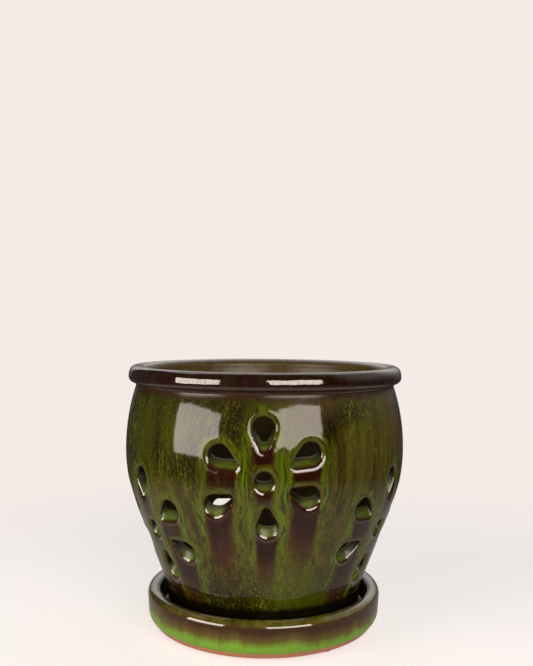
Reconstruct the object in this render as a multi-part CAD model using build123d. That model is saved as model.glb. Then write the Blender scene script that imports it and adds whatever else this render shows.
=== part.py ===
from build123d import *
from math import asin, cos, degrees, radians, sin, sqrt, tan
import os

# An orchid pot on its saucer, in millimetres.
# The origin is the centre of the base on the ground, +Z is up, and the flower seen first faces -Y.

# Pot body, a thrown shape of two bulging arcs and a straight flank, with heights above its own foot
belly_radius = 82.5
belly_rise = 95.7
upper_bulge_radius = 120.0
lower_bulge_radius = 90.0
flank_angle = 21.0
wall_thickness = 6.5
neck_rise = 131.7
rim_rise = 143.7
rim_roll_radius = 5.2
rim_overhang = 4.1
neck_groove_radius = 1.4

# Foot band, foot ring and floor of the pot
foot_band_height = 14.4
foot_band_taper = 1.0
foot_ring_width = 9.0
foot_recess_depth = 3.0
foot_edge_radius = 1.0
pot_floor_thickness = 7.0
floor_corner_radius = 6.0
drain_hole_radius = 10.0

# Flower of slots: six petals shaped like drops, with the point towards a round middle hole
petal_length = 16.6
petal_width = 11.4
petal_tip_radius = 1.9
flower_reach = 25.0
flower_hub_radius = 4.8
slot_edge_radius = 1.7
slot_inner_edge_radius = 1.0
cutter_overrun = 4.0

# Six flowers go round the pot, three high and three low, at degrees to the right of the front.
# The third low flower is the one at the back.
high_flower_rise = 89.2
low_flower_rise = 54.7
back_flower_rise = 51.7
high_flower_angles = [0.0, 122.0, 239.0]
low_flower_angles = [-56.5, 62.0, 187.5]

# Where each petal was cut: degrees clockwise from straight up, and its share of the flower's reach
high_petal_turns = [-1.0, 60.0, 110.0, 176.0, 242.5, 298.0]
high_reach_shares = [0.98, 1.02, 0.91, 0.9, 1.08, 0.98]
left_petal_turns = [0.0, 57.0, 110.0, 170.0, 246.0, 302.0]
left_reach_shares = [1.07, 0.94, 0.92, 0.83, 1.03, 1.08]
right_petal_turns = [-2.0, 58.0, 114.0, 189.0, 252.0, 301.0]
right_reach_shares = [1.07, 1.0, 0.98, 0.94, 1.05, 1.13]

# Saucer, pressed in one piece, with its wall standing clear of the pot's foot all round
saucer_gap = 3.4
saucer_lip_thickness = 8.0
saucer_wall_rise = 20.4
saucer_wall_lean = 0.7
saucer_base_step = 4.5
saucer_shoulder_rise = 4.6
saucer_floor_thickness = 7.0
saucer_turn_radius = 5.5
saucer_corner_radius = 3.0

# Three low clay feet of the saucer, and the rubber pads stuck under them
clay_foot_count = 3
clay_foot_radius = 5.2
clay_foot_height = 1.6
clay_foot_edge_radius = 0.7
clay_foot_inset = 9.0
first_clay_foot_angle = 36.5
pad_radius = 4.4
pad_thickness = 1.2

# Heights above the ground, from the pieces that stand on each other
saucer_underside = pad_thickness + clay_foot_height
saucer_floor_top = saucer_underside + saucer_floor_thickness
saucer_lip_height = saucer_underside + saucer_wall_rise
pot_bottom = saucer_floor_top
foot_band_top = pot_bottom + foot_band_height
foot_recess_top = pot_bottom + foot_recess_depth
pot_floor_top = foot_recess_top + pot_floor_thickness
belly_height = pot_bottom + belly_rise
neck_height = pot_bottom + neck_rise
rim_height = pot_bottom + rim_rise
high_flower_height = pot_bottom + high_flower_rise
low_flower_height = pot_bottom + low_flower_rise
back_flower_height = pot_bottom + back_flower_rise


def bulge_angle(height):
    """Degrees by which the wall leans in at this height, negative above the belly."""
    if height > belly_height:
        return -degrees(asin((height - belly_height) / upper_bulge_radius))
    fall = (belly_height - height) / lower_bulge_radius
    return min(flank_angle, degrees(asin(min(fall, 1.0))))


def wall_radius(height):
    """Radius of the pot's outer face at this height, from the foot band up to the neck."""
    lean = radians(bulge_angle(height))
    bulge = upper_bulge_radius if height > belly_height else lower_bulge_radius
    arc_radius = belly_radius - bulge * (1 - cos(lean))
    flank_top = belly_height - lower_bulge_radius * sin(radians(flank_angle))
    return arc_radius - max(flank_top - height, 0) * tan(radians(flank_angle))


def wall_line(inset, top, bottom):
    """The wall's curve at this depth, from one height down to another, as two arcs and a straight flank."""
    upper_radius = upper_bulge_radius - inset
    lower_radius = lower_bulge_radius - inset
    upper_centre = (belly_radius - upper_bulge_radius, belly_height)
    lower_centre = (belly_radius - lower_bulge_radius, belly_height)
    upper_angle = degrees(asin((top - belly_height) / upper_radius))
    upper_arc = CenterArc(upper_centre, upper_radius, 0, upper_angle)
    lower_arc = CenterArc(lower_centre, lower_radius, 0, -flank_angle)
    flank_start = lower_arc @ 1
    run = (flank_start.Y - bottom) * tan(radians(flank_angle))
    flank = Line(flank_start, (flank_start.X - run, bottom))
    return [upper_arc, lower_arc, flank]


def filled(edges, first, last):
    """The area between a curve and the axis, closed by a line out to its first and its last point."""
    lines = [Line((0, first.Y), first), Line(last, (0, last.Y)), Line((0, last.Y), (0, first.Y))]
    return make_face(edges + lines)


def roll_centre():
    """Middle of the rim's roll, radius across and height up."""
    radius = wall_radius(neck_height) + rim_overhang - rim_roll_radius
    return Vector(radius, rim_height - rim_roll_radius)


def rim_area(neck_inside):
    """The rolled rim and the collar that joins it to the neck."""
    centre = roll_centre()
    neck_outside = (wall_radius(neck_height), neck_height)
    roll_inside = (centre.X - rim_roll_radius, centre.Y)
    collar = Polyline(neck_outside, (centre.X, centre.Y), roll_inside, (neck_inside.X, neck_height), neck_outside)
    return Pos(centre.X, centre.Y) * Circle(rim_roll_radius) + make_face(collar)


def vertex_at(area, radius, height):
    """The corner of an area that lies nearest to a radius and a height."""
    target = Vector(radius, height)
    return min(area.vertices(), key=lambda corner: (Vector(corner.X, corner.Y) - target).length)


def disc_area(radius, bottom, top):
    """Half section of a disc about the axis."""
    return make_face(Polyline((0, bottom), (radius, bottom), (radius, top), (0, top), (0, bottom)))


def pot_area():
    """Half section of the pot before the slots are cut, radius across and height up."""
    outside = wall_line(0, neck_height, foot_band_top)
    foot_bottom_radius = wall_radius(foot_band_top) - foot_band_taper
    foot_line = Line(outside[2] @ 1, (foot_bottom_radius, pot_bottom))
    inside = wall_line(wall_thickness, neck_height, pot_floor_top)
    area = filled(outside + [foot_line], outside[0] @ 1, foot_line @ 1)
    area -= filled(inside, inside[0] @ 1, inside[2] @ 1)
    area += rim_area(inside[0] @ 1)
    recess_radius = foot_bottom_radius - foot_ring_width
    area -= disc_area(recess_radius, pot_bottom, foot_recess_top)
    area -= disc_area(drain_hole_radius, pot_bottom, pot_floor_top)
    area = fillet(vertex_at(area, (inside[2] @ 1).X, pot_floor_top), floor_corner_radius)
    centre = roll_centre()
    to_neck = (Vector(wall_radius(neck_height), neck_height) - centre).normalized()
    groove = centre + to_neck * rim_roll_radius
    area = fillet(vertex_at(area, groove.X, groove.Y), neck_groove_radius)
    for radius in (foot_bottom_radius, recess_radius):
        area = fillet(vertex_at(area, radius, pot_bottom), foot_edge_radius)
    return area


def drop_outline():
    """A drop lying along X about its own middle: a wide round end at +X and a narrow one at -X."""
    end_radius = petal_width / 2
    span = petal_length - end_radius - petal_tip_radius
    lean = asin((end_radius - petal_tip_radius) / span)
    wide_centre = petal_length / 2 - end_radius
    tip_centre = wide_centre - span
    wide_x = wide_centre - end_radius * sin(lean)
    wide_y = end_radius * cos(lean)
    tip_x = tip_centre - petal_tip_radius * sin(lean)
    tip_y = petal_tip_radius * cos(lean)
    top = Line((tip_x, tip_y), (wide_x, wide_y))
    round_end = ThreePointArc((wide_x, wide_y), (petal_length / 2, 0), (wide_x, -wide_y))
    bottom = Line((wide_x, -wide_y), (tip_x, -tip_y))
    tip = ThreePointArc((tip_x, -tip_y), (-petal_length / 2, 0), (tip_x, tip_y))
    return make_face([top, round_end, bottom, tip])


def wall_plane(angle, height, turn):
    """A plane on the outer face, facing out, with its X direction turned clockwise from straight up."""
    lean = radians(bulge_angle(height))
    around = radians(angle)
    outward = Vector(sin(around), -cos(around), 0)
    sideways = Vector(cos(around), sin(around), 0)
    normal = outward * cos(lean) - Vector(0, 0, sin(lean))
    up = outward * sin(lean) + Vector(0, 0, cos(lean))
    along = up * cos(radians(turn)) + sideways * sin(radians(turn))
    origin = outward * wall_radius(height) + Vector(0, 0, height)
    return Plane(origin=origin, x_dir=along, z_dir=normal)


def cutter(outline, angle, height, turn):
    """A prism of an outline that passes through the wall square to its face."""
    place = wall_plane(angle, height, turn).offset(-wall_thickness - cutter_overrun)
    return extrude(place * outline, amount=wall_thickness + cutter_overrun + cutter_overrun)


def flower_cutters(angle, height, turns, shares):
    """The middle hole and the petals of one flower, as prisms."""
    prisms = [cutter(Circle(flower_hub_radius), angle, height, 0)]
    for turn, share in zip(turns, shares):
        reach = flower_reach * share
        petal_height = height + reach * cos(radians(turn))
        sideways = reach * sin(radians(turn)) / wall_radius(petal_height)
        prisms.append(cutter(drop_outline(), angle + degrees(sideways), petal_height, turn))
    return prisms


def all_cutters():
    """The prisms of all six flowers."""
    prisms = []
    for angle in high_flower_angles:
        prisms += flower_cutters(angle, high_flower_height, high_petal_turns, high_reach_shares)
    low_turns = [left_petal_turns, right_petal_turns, left_petal_turns]
    low_shares = [left_reach_shares, right_reach_shares, left_reach_shares]
    low_heights = [low_flower_height, low_flower_height, back_flower_height]
    for angle, height, turns, shares in zip(low_flower_angles, low_heights, low_turns, low_shares):
        prisms += flower_cutters(angle, height, turns, shares)
    return prisms


def depth_in_wall(edge):
    """How far an edge's middle lies inside the outer face."""
    middle = edge @ 0.5
    return wall_radius(middle.Z) - sqrt(middle.X**2 + middle.Y**2)


def pot():
    """The pot, with every slot cut and its edges rounded as the glaze leaves them."""
    blank = revolve(Plane.XZ * pot_area(), Axis.Z)
    cutters = all_cutters()
    body = blank - cutters
    # Rounding holds at more sizes when it sets out from the longest edges
    slot_edges = new_edges(blank, *cutters, combined=body).sort_by(lambda edge: -edge.length)
    outer_edges = slot_edges.filter_by(lambda edge: depth_in_wall(edge) < wall_thickness / 4)
    inner_edges = slot_edges.filter_by(lambda edge: depth_in_wall(edge) > wall_thickness * 3 / 4)
    body = body.fillet(slot_edge_radius, outer_edges)
    return body.fillet(slot_inner_edge_radius, inner_edges)


def saucer_inner_radius():
    """Radius of the saucer's inner wall, clear of the widest part of the pot's foot band."""
    return wall_radius(foot_band_top) + saucer_gap


def saucer_base_radius():
    """Radius of the saucer's bottom edge."""
    return saucer_inner_radius() + saucer_lip_thickness - saucer_base_step


def saucer_area():
    """Half section of the saucer without its clay feet, radius across and height up."""
    lip_radius = saucer_lip_thickness / 2
    lip_level = saucer_lip_height - lip_radius
    inner_radius = saucer_inner_radius()
    wall_top = (inner_radius + saucer_lip_thickness, lip_level)
    shoulder = (inner_radius + saucer_lip_thickness - saucer_wall_lean, saucer_underside + saucer_shoulder_rise)
    outline = Polyline(
        wall_top,
        shoulder,
        (saucer_base_radius(), saucer_underside),
        (0, saucer_underside),
        (0, saucer_floor_top),
        (inner_radius, saucer_floor_top),
        (inner_radius, lip_level),
        wall_top,
    )
    area = make_face(outline) + Pos(inner_radius + lip_radius, lip_level) * Circle(lip_radius)
    area = fillet(vertex_at(area, *shoulder), saucer_turn_radius)
    return fillet(vertex_at(area, inner_radius, saucer_floor_top), saucer_corner_radius)


def foot_places():
    """The centre of each clay foot, seen from above."""
    circle_radius = saucer_base_radius() - clay_foot_inset
    places = []
    for number in range(clay_foot_count):
        around = radians(first_clay_foot_angle + number * 360 / clay_foot_count)
        places.append((circle_radius * sin(around), -circle_radius * cos(around)))
    return places


def clay_foot():
    """One low round foot, standing at the origin, its lower edge worn round."""
    foot = extrude(Circle(clay_foot_radius), clay_foot_height)
    return fillet(foot.edges().group_by(Axis.Z)[0], clay_foot_edge_radius)


def saucer():
    """The saucer with its three clay feet."""
    dish = revolve(Plane.XZ * saucer_area(), Axis.Z)
    for x, y in foot_places():
        dish += Pos(x, y, pad_thickness) * clay_foot()
    return dish


def foot_pad(x, y):
    """A thin round rubber pad on the ground under a clay foot."""
    return Pos(x, y) * extrude(Circle(pad_radius), pad_thickness)


os.makedirs("parts", exist_ok=True)
export_step(pot(), "parts/pot.step")
export_step(saucer(), "parts/saucer.step")
for number, (x, y) in enumerate(foot_places(), start=1):
    export_step(foot_pad(x, y), f"parts/foot_pad_{number}.step")
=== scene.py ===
"""Looks of a slotted orchid pot: glazed surfaces, saucer, pads and studio, built round the CAD frame."""

from math import asin, atan2, cos, degrees, hypot, pi, radians, sin, sqrt, tan

import bpy
import numpy as np
from mathutils import Matrix, Vector
from mathutils.geometry import delaunay_2d_cdt


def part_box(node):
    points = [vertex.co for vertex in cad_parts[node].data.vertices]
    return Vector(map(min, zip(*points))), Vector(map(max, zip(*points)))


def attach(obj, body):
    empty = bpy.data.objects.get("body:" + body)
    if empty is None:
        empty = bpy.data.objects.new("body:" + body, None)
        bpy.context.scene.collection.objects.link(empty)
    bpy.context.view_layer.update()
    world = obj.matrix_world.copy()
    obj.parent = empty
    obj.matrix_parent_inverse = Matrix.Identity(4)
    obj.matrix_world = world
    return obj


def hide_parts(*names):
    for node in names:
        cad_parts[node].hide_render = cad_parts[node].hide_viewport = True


bl_info = {
    "name": "Orchid Pot Looks",
    "version": (1, 0, 0),
    "blender": (4, 5, 0),
    "location": "3D View > Sidebar > Orchid Pot",
    "description": "Glazed orchid pot with flowers of slots, its saucer, pads and a studio",
    "category": "Object",
}

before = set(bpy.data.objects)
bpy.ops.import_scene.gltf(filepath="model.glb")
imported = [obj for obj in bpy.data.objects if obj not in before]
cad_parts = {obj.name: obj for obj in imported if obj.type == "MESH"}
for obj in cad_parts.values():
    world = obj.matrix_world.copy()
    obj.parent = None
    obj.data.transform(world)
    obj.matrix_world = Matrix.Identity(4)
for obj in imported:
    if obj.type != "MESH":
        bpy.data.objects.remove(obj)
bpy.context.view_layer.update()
POT_LOW, POT_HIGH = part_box("pot")
SAUCER_LOW, SAUCER_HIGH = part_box("saucer")
PAD_LOW, PAD_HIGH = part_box("foot_pad_1")
MM = 0.001


def length(name, about, value):
    """A size in metres that a user may change."""
    return bpy.props.FloatProperty(
        name=name, description=about, default=value, min=0.0, unit="LENGTH", precision=4
    )


def amount(name, about, value):
    """A share, a strength or another plain number."""
    return bpy.props.FloatProperty(name=name, description=about, default=value, min=0.0)


def turn(name, about, value):
    """An angle, written here in degrees."""
    return bpy.props.FloatProperty(name=name, description=about, default=radians(value), subtype="ANGLE")


def tint(name, about, red, green, blue):
    """A colour, written here as it looks on a screen, from 0 to 255."""
    parts = np.array([red, green, blue]) / 255
    linear = np.where(parts < 0.04045, parts / 12.92, ((parts + 0.055) / 1.055) ** 2.4)
    shown = tuple(float(part) for part in linear)
    return bpy.props.FloatVectorProperty(
        name=name, description=about, default=shown, subtype="COLOR", min=0.0, max=1.0
    )


def count(name, about, value):
    """A whole number of parts."""
    return bpy.props.IntProperty(name=name, description=about, default=value, min=3)


class PotSizes(bpy.types.PropertyGroup):
    """Sizes of the thrown pot."""

    belly_radius: length("Belly radius", "Widest radius of the wall", (POT_HIGH.x - POT_LOW.x) / 2)
    belly_height: length("Belly height", "Height of the widest place above the ground", 105.5 * MM)
    upper_bulge: length("Upper bulge", "Radius of the wall's curve above the belly", 120 * MM)
    lower_bulge: length("Lower bulge", "Radius of the wall's curve below the belly", 90 * MM)
    flank: turn("Flank", "Slope of the straight lower wall from upright", 21)
    wall: length("Wall", "Thickness of the wall", 6.5 * MM)
    neck_height: length("Neck height", "Where the wall ends under the roll", 141.5 * MM)
    roll_radius: length("Roll radius", "Radius of the rolled rim", 5.2 * MM)
    roll_reach: length("Roll reach", "Radius of the pot at the middle of the roll", 75.87 * MM)
    roll_power: amount("Roll power", "How square the roll is pressed, from 2 for a round one", 2.6)
    roll_lean: turn("Roll lean", "How far the roll's flattest place faces up", 9)
    groove_radius: length("Groove radius", "Rounding of the groove under the roll", 1.4 * MM)
    band_top: length("Band top", "Height of the top of the foot band", 24.2 * MM)
    band_taper: length("Band taper", "How far the foot band draws in", 1.0 * MM)
    ring_width: length("Ring width", "Width of the foot ring", 9.0 * MM)
    recess: length("Recess", "Depth of the hollow inside the foot ring", 3.0 * MM)
    edge_radius: length("Edge radius", "Rounding of the foot ring's edges", 1.0 * MM)
    floor_thickness: length("Floor", "Thickness of the pot's floor", 7.0 * MM)
    corner_radius: length("Corner radius", "Rounding between the floor and the wall inside", 6.0 * MM)
    drain_radius: length("Drain radius", "Radius of the drain hole", 10.0 * MM)
    waviness: length("Waviness", "How far the thrown wall strays from true", 0.16 * MM)
    rim_settling: length("Rim settling", "Height over which the waviness ends on the rim", 4.5 * MM)
    columns: count("Columns", "Steps of the mesh round the pot", 256)
    outer_rows: count("Outer rows", "Rows of the mesh up the outer wall", 72)
    inner_rows: count("Inner rows", "Rows of the mesh up the inner wall", 46)


class SlotSizes(bpy.types.PropertyGroup):
    """Sizes of the flowers of slots."""

    petal_length: length("Petal length", "Length of a petal slot", 16.6 * MM)
    petal_width: length("Petal width", "Width of a petal slot", 11.4 * MM)
    tip_radius: length("Tip radius", "Radius of a petal's narrow end", 1.9 * MM)
    hub_radius: length("Hub radius", "Radius of a flower's middle hole", 4.8 * MM)
    reach: length("Reach", "From the middle of a flower to the middle of a petal", 25.0 * MM)
    high_height: length("High flowers", "Height of the high flowers above the ground", 99.0 * MM)
    low_height: length("Low flowers", "Height of the low flowers above the ground", 64.5 * MM)
    back_height: length("Back flower", "Height of the back flower above the ground", 61.5 * MM)
    shoulder_width: length("Shoulder width", "How far outside a slot its edge starts to round", 3.3 * MM)
    shoulder_depth: length("Shoulder depth", "How deep the rounding goes into the slot", 2.1 * MM)
    inner_width: length("Inner width", "Rounding of a slot on the inner face", 1.5 * MM)
    inner_depth: length("Inner depth", "Depth of the rounding on the inner face", 1.2 * MM)
    side_pinch: length("Side pinch", "How far a slot narrows towards the inside", 0.5 * MM)
    low_lift: length("Low lift", "How far the glaze pooled in a slot lifts its lower side inside", 3.4 * MM)
    low_bevel: length("Low bevel", "How much wider the rounding is on a slot's lower side", 1.3 * MM)


class SaucerSizes(bpy.types.PropertyGroup):
    """Sizes of the saucer and its pads."""

    outer_radius: length("Outer radius", "Widest radius of the saucer", (SAUCER_HIGH.x - SAUCER_LOW.x) / 2)
    lip_thickness: length("Lip", "Thickness of the round lip", 8.0 * MM)
    wall_lean: length("Lean", "How far the wall draws in above its shoulder", 0.7 * MM)
    base_step: length("Base step", "From the wall's outer face in to the base edge", 4.5 * MM)
    shoulder_rise: length("Shoulder rise", "Height of the shoulder above the underside", 4.6 * MM)
    base_rounding: length("Base rounding", "Rounding of the base's edge", 0.5 * MM)
    clay_full: length("Clay full", "How far above the underside the wall is all bare clay", 2.0 * MM)
    clay_end: length("Clay end", "How far above the underside the bare clay ends", 4.4 * MM)
    underside: length("Underside", "Height of the underside above the ground", 2.8 * MM)
    floor_top: length("Floor top", "Height of the floor above the ground", 9.8 * MM)
    turn_radius: length("Turn radius", "Rounding of the shoulder", 5.5 * MM)
    corner_radius: length("Corner radius", "Rounding between the floor and the lip inside", 3.0 * MM)
    foot_circle: length("Foot circle", "Radius of the circle that the clay feet stand on", 55.59 * MM)
    foot_radius: length("Foot radius", "Radius of a clay foot", 5.2 * MM)
    foot_edge: length("Foot edge", "Rounding of a clay foot", 0.7 * MM)
    first_foot: turn("First foot", "Where the first clay foot stands, to the right of the front", 36.5)
    foot_count: count("Feet", "How many clay feet and pads there are", 3)
    pad_radius: length("Pad radius", "Radius of a rubber pad", (PAD_HIGH.x - PAD_LOW.x) / 2)
    pad_edge: length("Pad edge", "Rounding of a rubber pad", 0.3 * MM)
    waviness: length("Waviness", "How far the saucer strays from true", 0.08 * MM)
    columns: count("Columns", "Steps of the mesh round the saucer", 256)
    foot_columns: count("Foot columns", "Steps of the mesh round a clay foot", 40)
    pad_columns: count("Pad columns", "Steps of the mesh round a pad", 64)


class GlazeSizes(bpy.types.PropertyGroup):
    """How large the marks in the glaze are and how far it ran."""

    streak: length("Streak", "Width of the fine upright streaks", 1.4 * MM)
    fleck: length("Fleck", "Size of the bright flecks", 0.72 * MM)
    line: length("Line", "Width of the lines that flow past a slot", 2.4 * MM)
    ribbon: length("Ribbon", "Width of the broad upright ribbons", 3.8 * MM)
    cloud: length("Cloud", "Size of the lighter and darker clouds", 17 * MM)
    tinge: length("Tinge", "Size of the greener places", 22 * MM)
    patch: length("Patch", "Size of the brown patches", 26 * MM)
    ripple: length("Ripple", "Size of the swells in the shiny surface", 8.3 * MM)
    relief: length("Relief", "Height of those swells", 0.12 * MM)
    rim_swell: length("Rim swell", "Size of the hand-worked swells on the rim", 9.0 * MM)
    arch_inner: length("Arch inner", "Where the thick glaze round a slot starts to thin", 2.0 * MM)
    arch_outer: length("Arch outer", "Where the thick glaze round a slot ends", 7.0 * MM)
    arch_thinning: amount("Arch thinning", "How much nearer it ends for each length down", 0.04)
    arch_fall: length("Arch fall", "Over which height it thins beside and below a slot", 18 * MM)
    stream_middle: length("Stream", "From a slot's side to the bright stream beside it", 3.2 * MM)
    stream_spread: length("Stream spread", "Half the width of that stream", 2.2 * MM)
    stream_fall: length("Stream fall", "Over which height the stream thins out", 60 * MM)
    drift: amount("Drift", "How far a slot pushes the flow aside, as a share of its size", 1.1)
    drift_spread: length("Drift spread", "How far from a slot the flow still bends", 30 * MM)
    drip_margin: length("Drip margin", "How far a brown band is wider than its slot, each side", 0.2 * MM)
    drip_overlap: length("Drip overlap", "How far a band reaches up the slot's lower edge", 1.0 * MM)
    drip_parting: length("Drip parting", "How far beside a slot a band from above is pushed", 3.0 * MM)
    drip_full: length("Full drip", "How far below a slot its brown band is full", 8 * MM)
    drip_end: length("Drip end", "How far below a slot its brown band ends", 64 * MM)
    drip_waver: length("Drip waver", "How far the sides of a band stray", 4.2 * MM)
    drip_bend: length("Drip bend", "Length of the slow bends in its sides", 11 * MM)
    drip_softening: amount("Drip softening", "How much its sides soften for each length down", 0.15)
    drip_side: length("Drip side", "Width of the redder sides of a band", 1.6 * MM)
    ring_inner: length("Ring inner", "Where the olive ring at a slot's edge is full", 0.8 * MM)
    ring_outer: length("Ring outer", "Where the olive ring at a slot's edge ends", 2.2 * MM)
    lip_inner: length("Lip inner", "Where the shiny lip under a slot is full", 1.4 * MM)
    lip_outer: length("Lip outer", "Where the shiny lip under a slot ends", 2.6 * MM)
    neck_fade: length("Neck fade", "Height over which the body turns into the brown neck", 4.0 * MM)
    rim_fade: length("Rim fade", "Height over which the neck turns into the rim", 1.8 * MM)
    # Painted shade: the near black on the foot band, standing in for the saucer's shadow, reaches this far
    # above the band, and the lighter glaze starts there.
    foot_shade_rise: length("Soot rise", "How far the dark glaze reaches above the foot band", 3.8 * MM)
    light_rise: length("Light rise", "How far above the foot band the lighter glaze is full", 36 * MM)
    light_drop: length("Light drop", "How far below the belly the lighter glaze starts to end", 17 * MM)
    light_lift: length("Light lift", "How much higher the lighter glaze reaches on the right", 30 * MM)
    umber_drop: length("Umber drop", "How far below the belly the brown patches start", 10 * MM)
    saucer_crest: length("Saucer crest", "Height of the mossy, glassy top of the lip", 4 * MM)
    dish_blend: length("Dish blend", "Half the width over which the lip turns into the dish", 1 * MM)
    clay_grain: length("Clay grain", "Size of the grains in the clay", 0.6 * MM)
    rubber_grain: length("Rubber grain", "Size of the grains in the rubber", 0.4 * MM)


class GlazeColours(bpy.types.PropertyGroup):
    """Colours of the glazes, the clay and the rubber."""

    deep: tint("Deep olive", "Darkest of the mottled glaze", 24, 18, 3)
    olive: tint("Olive", "Middle of the mottled glaze", 50, 47, 8)
    moss: tint("Moss", "Bright of the mottled glaze", 78, 82, 16)
    fleck: tint("Fleck", "Brightest flecks", 112, 122, 38)
    umber: tint("Umber", "Brown patches", 94, 76, 50)
    straw: tint("Straw", "Thinner, lighter glaze between the low flowers", 116, 106, 36)
    halo: tint("Halo", "Thick yellow green above and beside the slots", 92, 104, 10)
    run: tint("Run", "Bright green runs between the slots", 92, 124, 8)
    ring: tint("Ring", "Thin glaze at a slot's edge", 88, 74, 16)
    blush: tint("Blush", "Red brown along the sides of a drip", 72, 26, 6)
    plum: tint("Plum", "Purple clouds in a drip", 56, 36, 42)
    # Painted shade: near black on the foot band, where the saucer shades it.
    foot_shade: tint("Shaded_foot", "Foot band in the saucer's shade", 12, 10, 4)
    drip: tint("Drip", "Red brown under a slot", 40, 10, 3)
    faded: tint("Faded drip", "Where a drip has thinned out", 68, 31, 10)
    rim: tint("Rim", "Rolled rim", 40, 12, 3)
    neck: tint("Neck", "Groove under the rim", 62, 40, 22)
    # Partly painted light: the green of the glaze pooled on a slot's lower side is also made brighter than
    # its shaded upper side, as the lit side facing up.
    pool: tint("Pool", "Green pooled in the lower side of a slot", 122, 152, 26)
    shade: tint("Shade", "Dark upper side of a slot", 14, 18, 4)
    # Partly painted light: the inner face gets a lighter tint than its glaze, standing in for the light that
    # hardly reaches inside the pot.
    inside: tint("Inside", "Inner face", 112, 98, 44)
    lip: tint("Saucer lip", "Brown of the saucer's lip", 64, 34, 13)
    fall: tint("Saucer fall", "Olive brown below the lip", 104, 92, 32)
    grass: tint("Saucer green", "Bright green at the bottom", 125, 176, 53)
    clay: tint("Clay", "Bare fired clay", 210, 143, 109)
    rubber: tint("Rubber", "Pads under the saucer", 18, 18, 19)


class StudioSettings(bpy.types.PropertyGroup):
    """Camera, lamps and floor."""

    lamp_tint: tint("Lamp tint", "Warm white of the lamps", 255, 241, 229)
    camera_distance: length("Camera distance", "From the pot's axis to the camera", 480 * MM)
    camera_height: length("Camera height", "Height of the camera above the ground", 179.5 * MM)
    camera_pitch: turn("Camera pitch", "How far the camera looks down", 0.825)
    camera_roll: turn("Camera roll", "How far the camera leans", 0.396)
    camera_lens: amount("Lens", "Lens in millimetres", 43.1)
    camera_shift: amount("Shift", "Sideways shift of the view", 0.0018)
    paper: tint("Paper", "Floor and backdrop", 244, 235, 230)
    floor_paper: tint("Floor paper", "Floor under the warm lamps", 244, 241, 240)
    air: tint("Air", "Dim light from all sides", 58, 57, 56)
    lamp_distance: length("Lamp distance", "From the pot to each soft lamp", 0.9)
    lamp_aim: length("Lamp aim", "Height that the lamps face", 0.09)
    left_azimuth: turn("Left lamp", "Where the left lamp stands, to the right of the front", -54.5)
    left_elevation: turn("Left lamp rise", "How high the left lamp stands", 8.0)
    left_width: length("Left lamp width", "Width of the left lamp", 0.62)
    left_height: length("Left lamp height", "Height of the left lamp", 0.39)
    right_azimuth: turn("Right lamp", "Where the right lamp stands, to the right of the front", 23.5)
    right_elevation: turn("Right lamp rise", "How high the right lamp stands", 13.2)
    right_width: length("Right lamp width", "Width of the right lamp", 0.68)
    right_height: length("Right lamp height", "Height of the right lamp", 0.32)
    floor_half: length("Floor", "Half the side of the floor", 3.0)
    near_floor: length("Near floor", "Out to where the floor takes the shadow in full", 0.15)
    far_floor: length("Far floor", "From where the floor is as even as the backdrop", 0.48)
    mirror_full: length("Mirrored floor", "Out to where the floor shows in the glaze in full", 0.18)
    mirror_end: length("Mirrored floor end", "From where the floor no longer shows in the glaze", 0.4)
    backdrop_radius: length("Backdrop", "Radius of the curved backdrop", 2.4)
    backdrop_height: length("Backdrop height", "Height of the backdrop", 3.0)
    backdrop_first: turn("Backdrop start", "Where the backdrop starts, to the right of the front", 48)
    backdrop_last: turn("Backdrop end", "Where the backdrop ends", 214)
    ceiling_height: length("Ceiling", "Height of the ceiling", 1.3)
    ceiling_half: length("Ceiling half", "Half the width of the ceiling", 0.9)
    ceiling_near: length("Ceiling near", "Where the ceiling starts behind the pot", 0.1)
    ceiling_far: length("Ceiling far", "Where the ceiling ends behind the pot", 1.5)
    lamp_level: amount("Lamp level", "Brightness of a lamp's face", 6.1)
    floor_glow: amount("Floor glow", "Brightness added to the near floor for the camera", 0.66)
    floor_gleam: amount("Floor gleam", "Brightness of the near floor in the glaze", 0.12)


# Where the flowers sit, in degrees to the right of the front
HIGH_FLOWER_ANGLES = [0.0, 122.0, 239.0]
LOW_FLOWER_ANGLES = [-56.5, 62.0, 187.5]
# Where each petal was cut: degrees clockwise from straight up, and its share of the flower's reach
HIGH_TURNS = [-1.0, 60.0, 110.0, 176.0, 242.5, 298.0]
HIGH_SHARES = [0.98, 1.02, 0.91, 0.9, 1.08, 0.98]
LEFT_TURNS = [0.0, 57.0, 110.0, 170.0, 246.0, 302.0]
LEFT_SHARES = [1.07, 0.94, 0.92, 0.83, 1.03, 1.08]
RIGHT_TURNS = [-2.0, 58.0, 114.0, 189.0, 252.0, 301.0]
RIGHT_SHARES = [1.07, 1.0, 0.98, 0.94, 1.05, 1.13]
# The mesh is joined up along a line that no slot crosses
SEAM = radians(28.5)
# A distance from the slots that counts as out of their reach, and the fields there
FAR = 60 * MM
UNTOUCHED = {"drip": -FAR, "drip_age": FAR, "edge": FAR}
# What is painted on the pot's mesh for its glaze
POT_FIELDS = ["halo", "run", "drip", "drip_age", "edge"]
POT_FIELDS += ["tunnel", "low_side", "inside", "bare", "flow_place"]
# Where a Mix node keeps its two colours and its result
FIRST_COLOUR, SECOND_COLOUR, MIXED_COLOUR = 6, 7, 2


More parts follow.
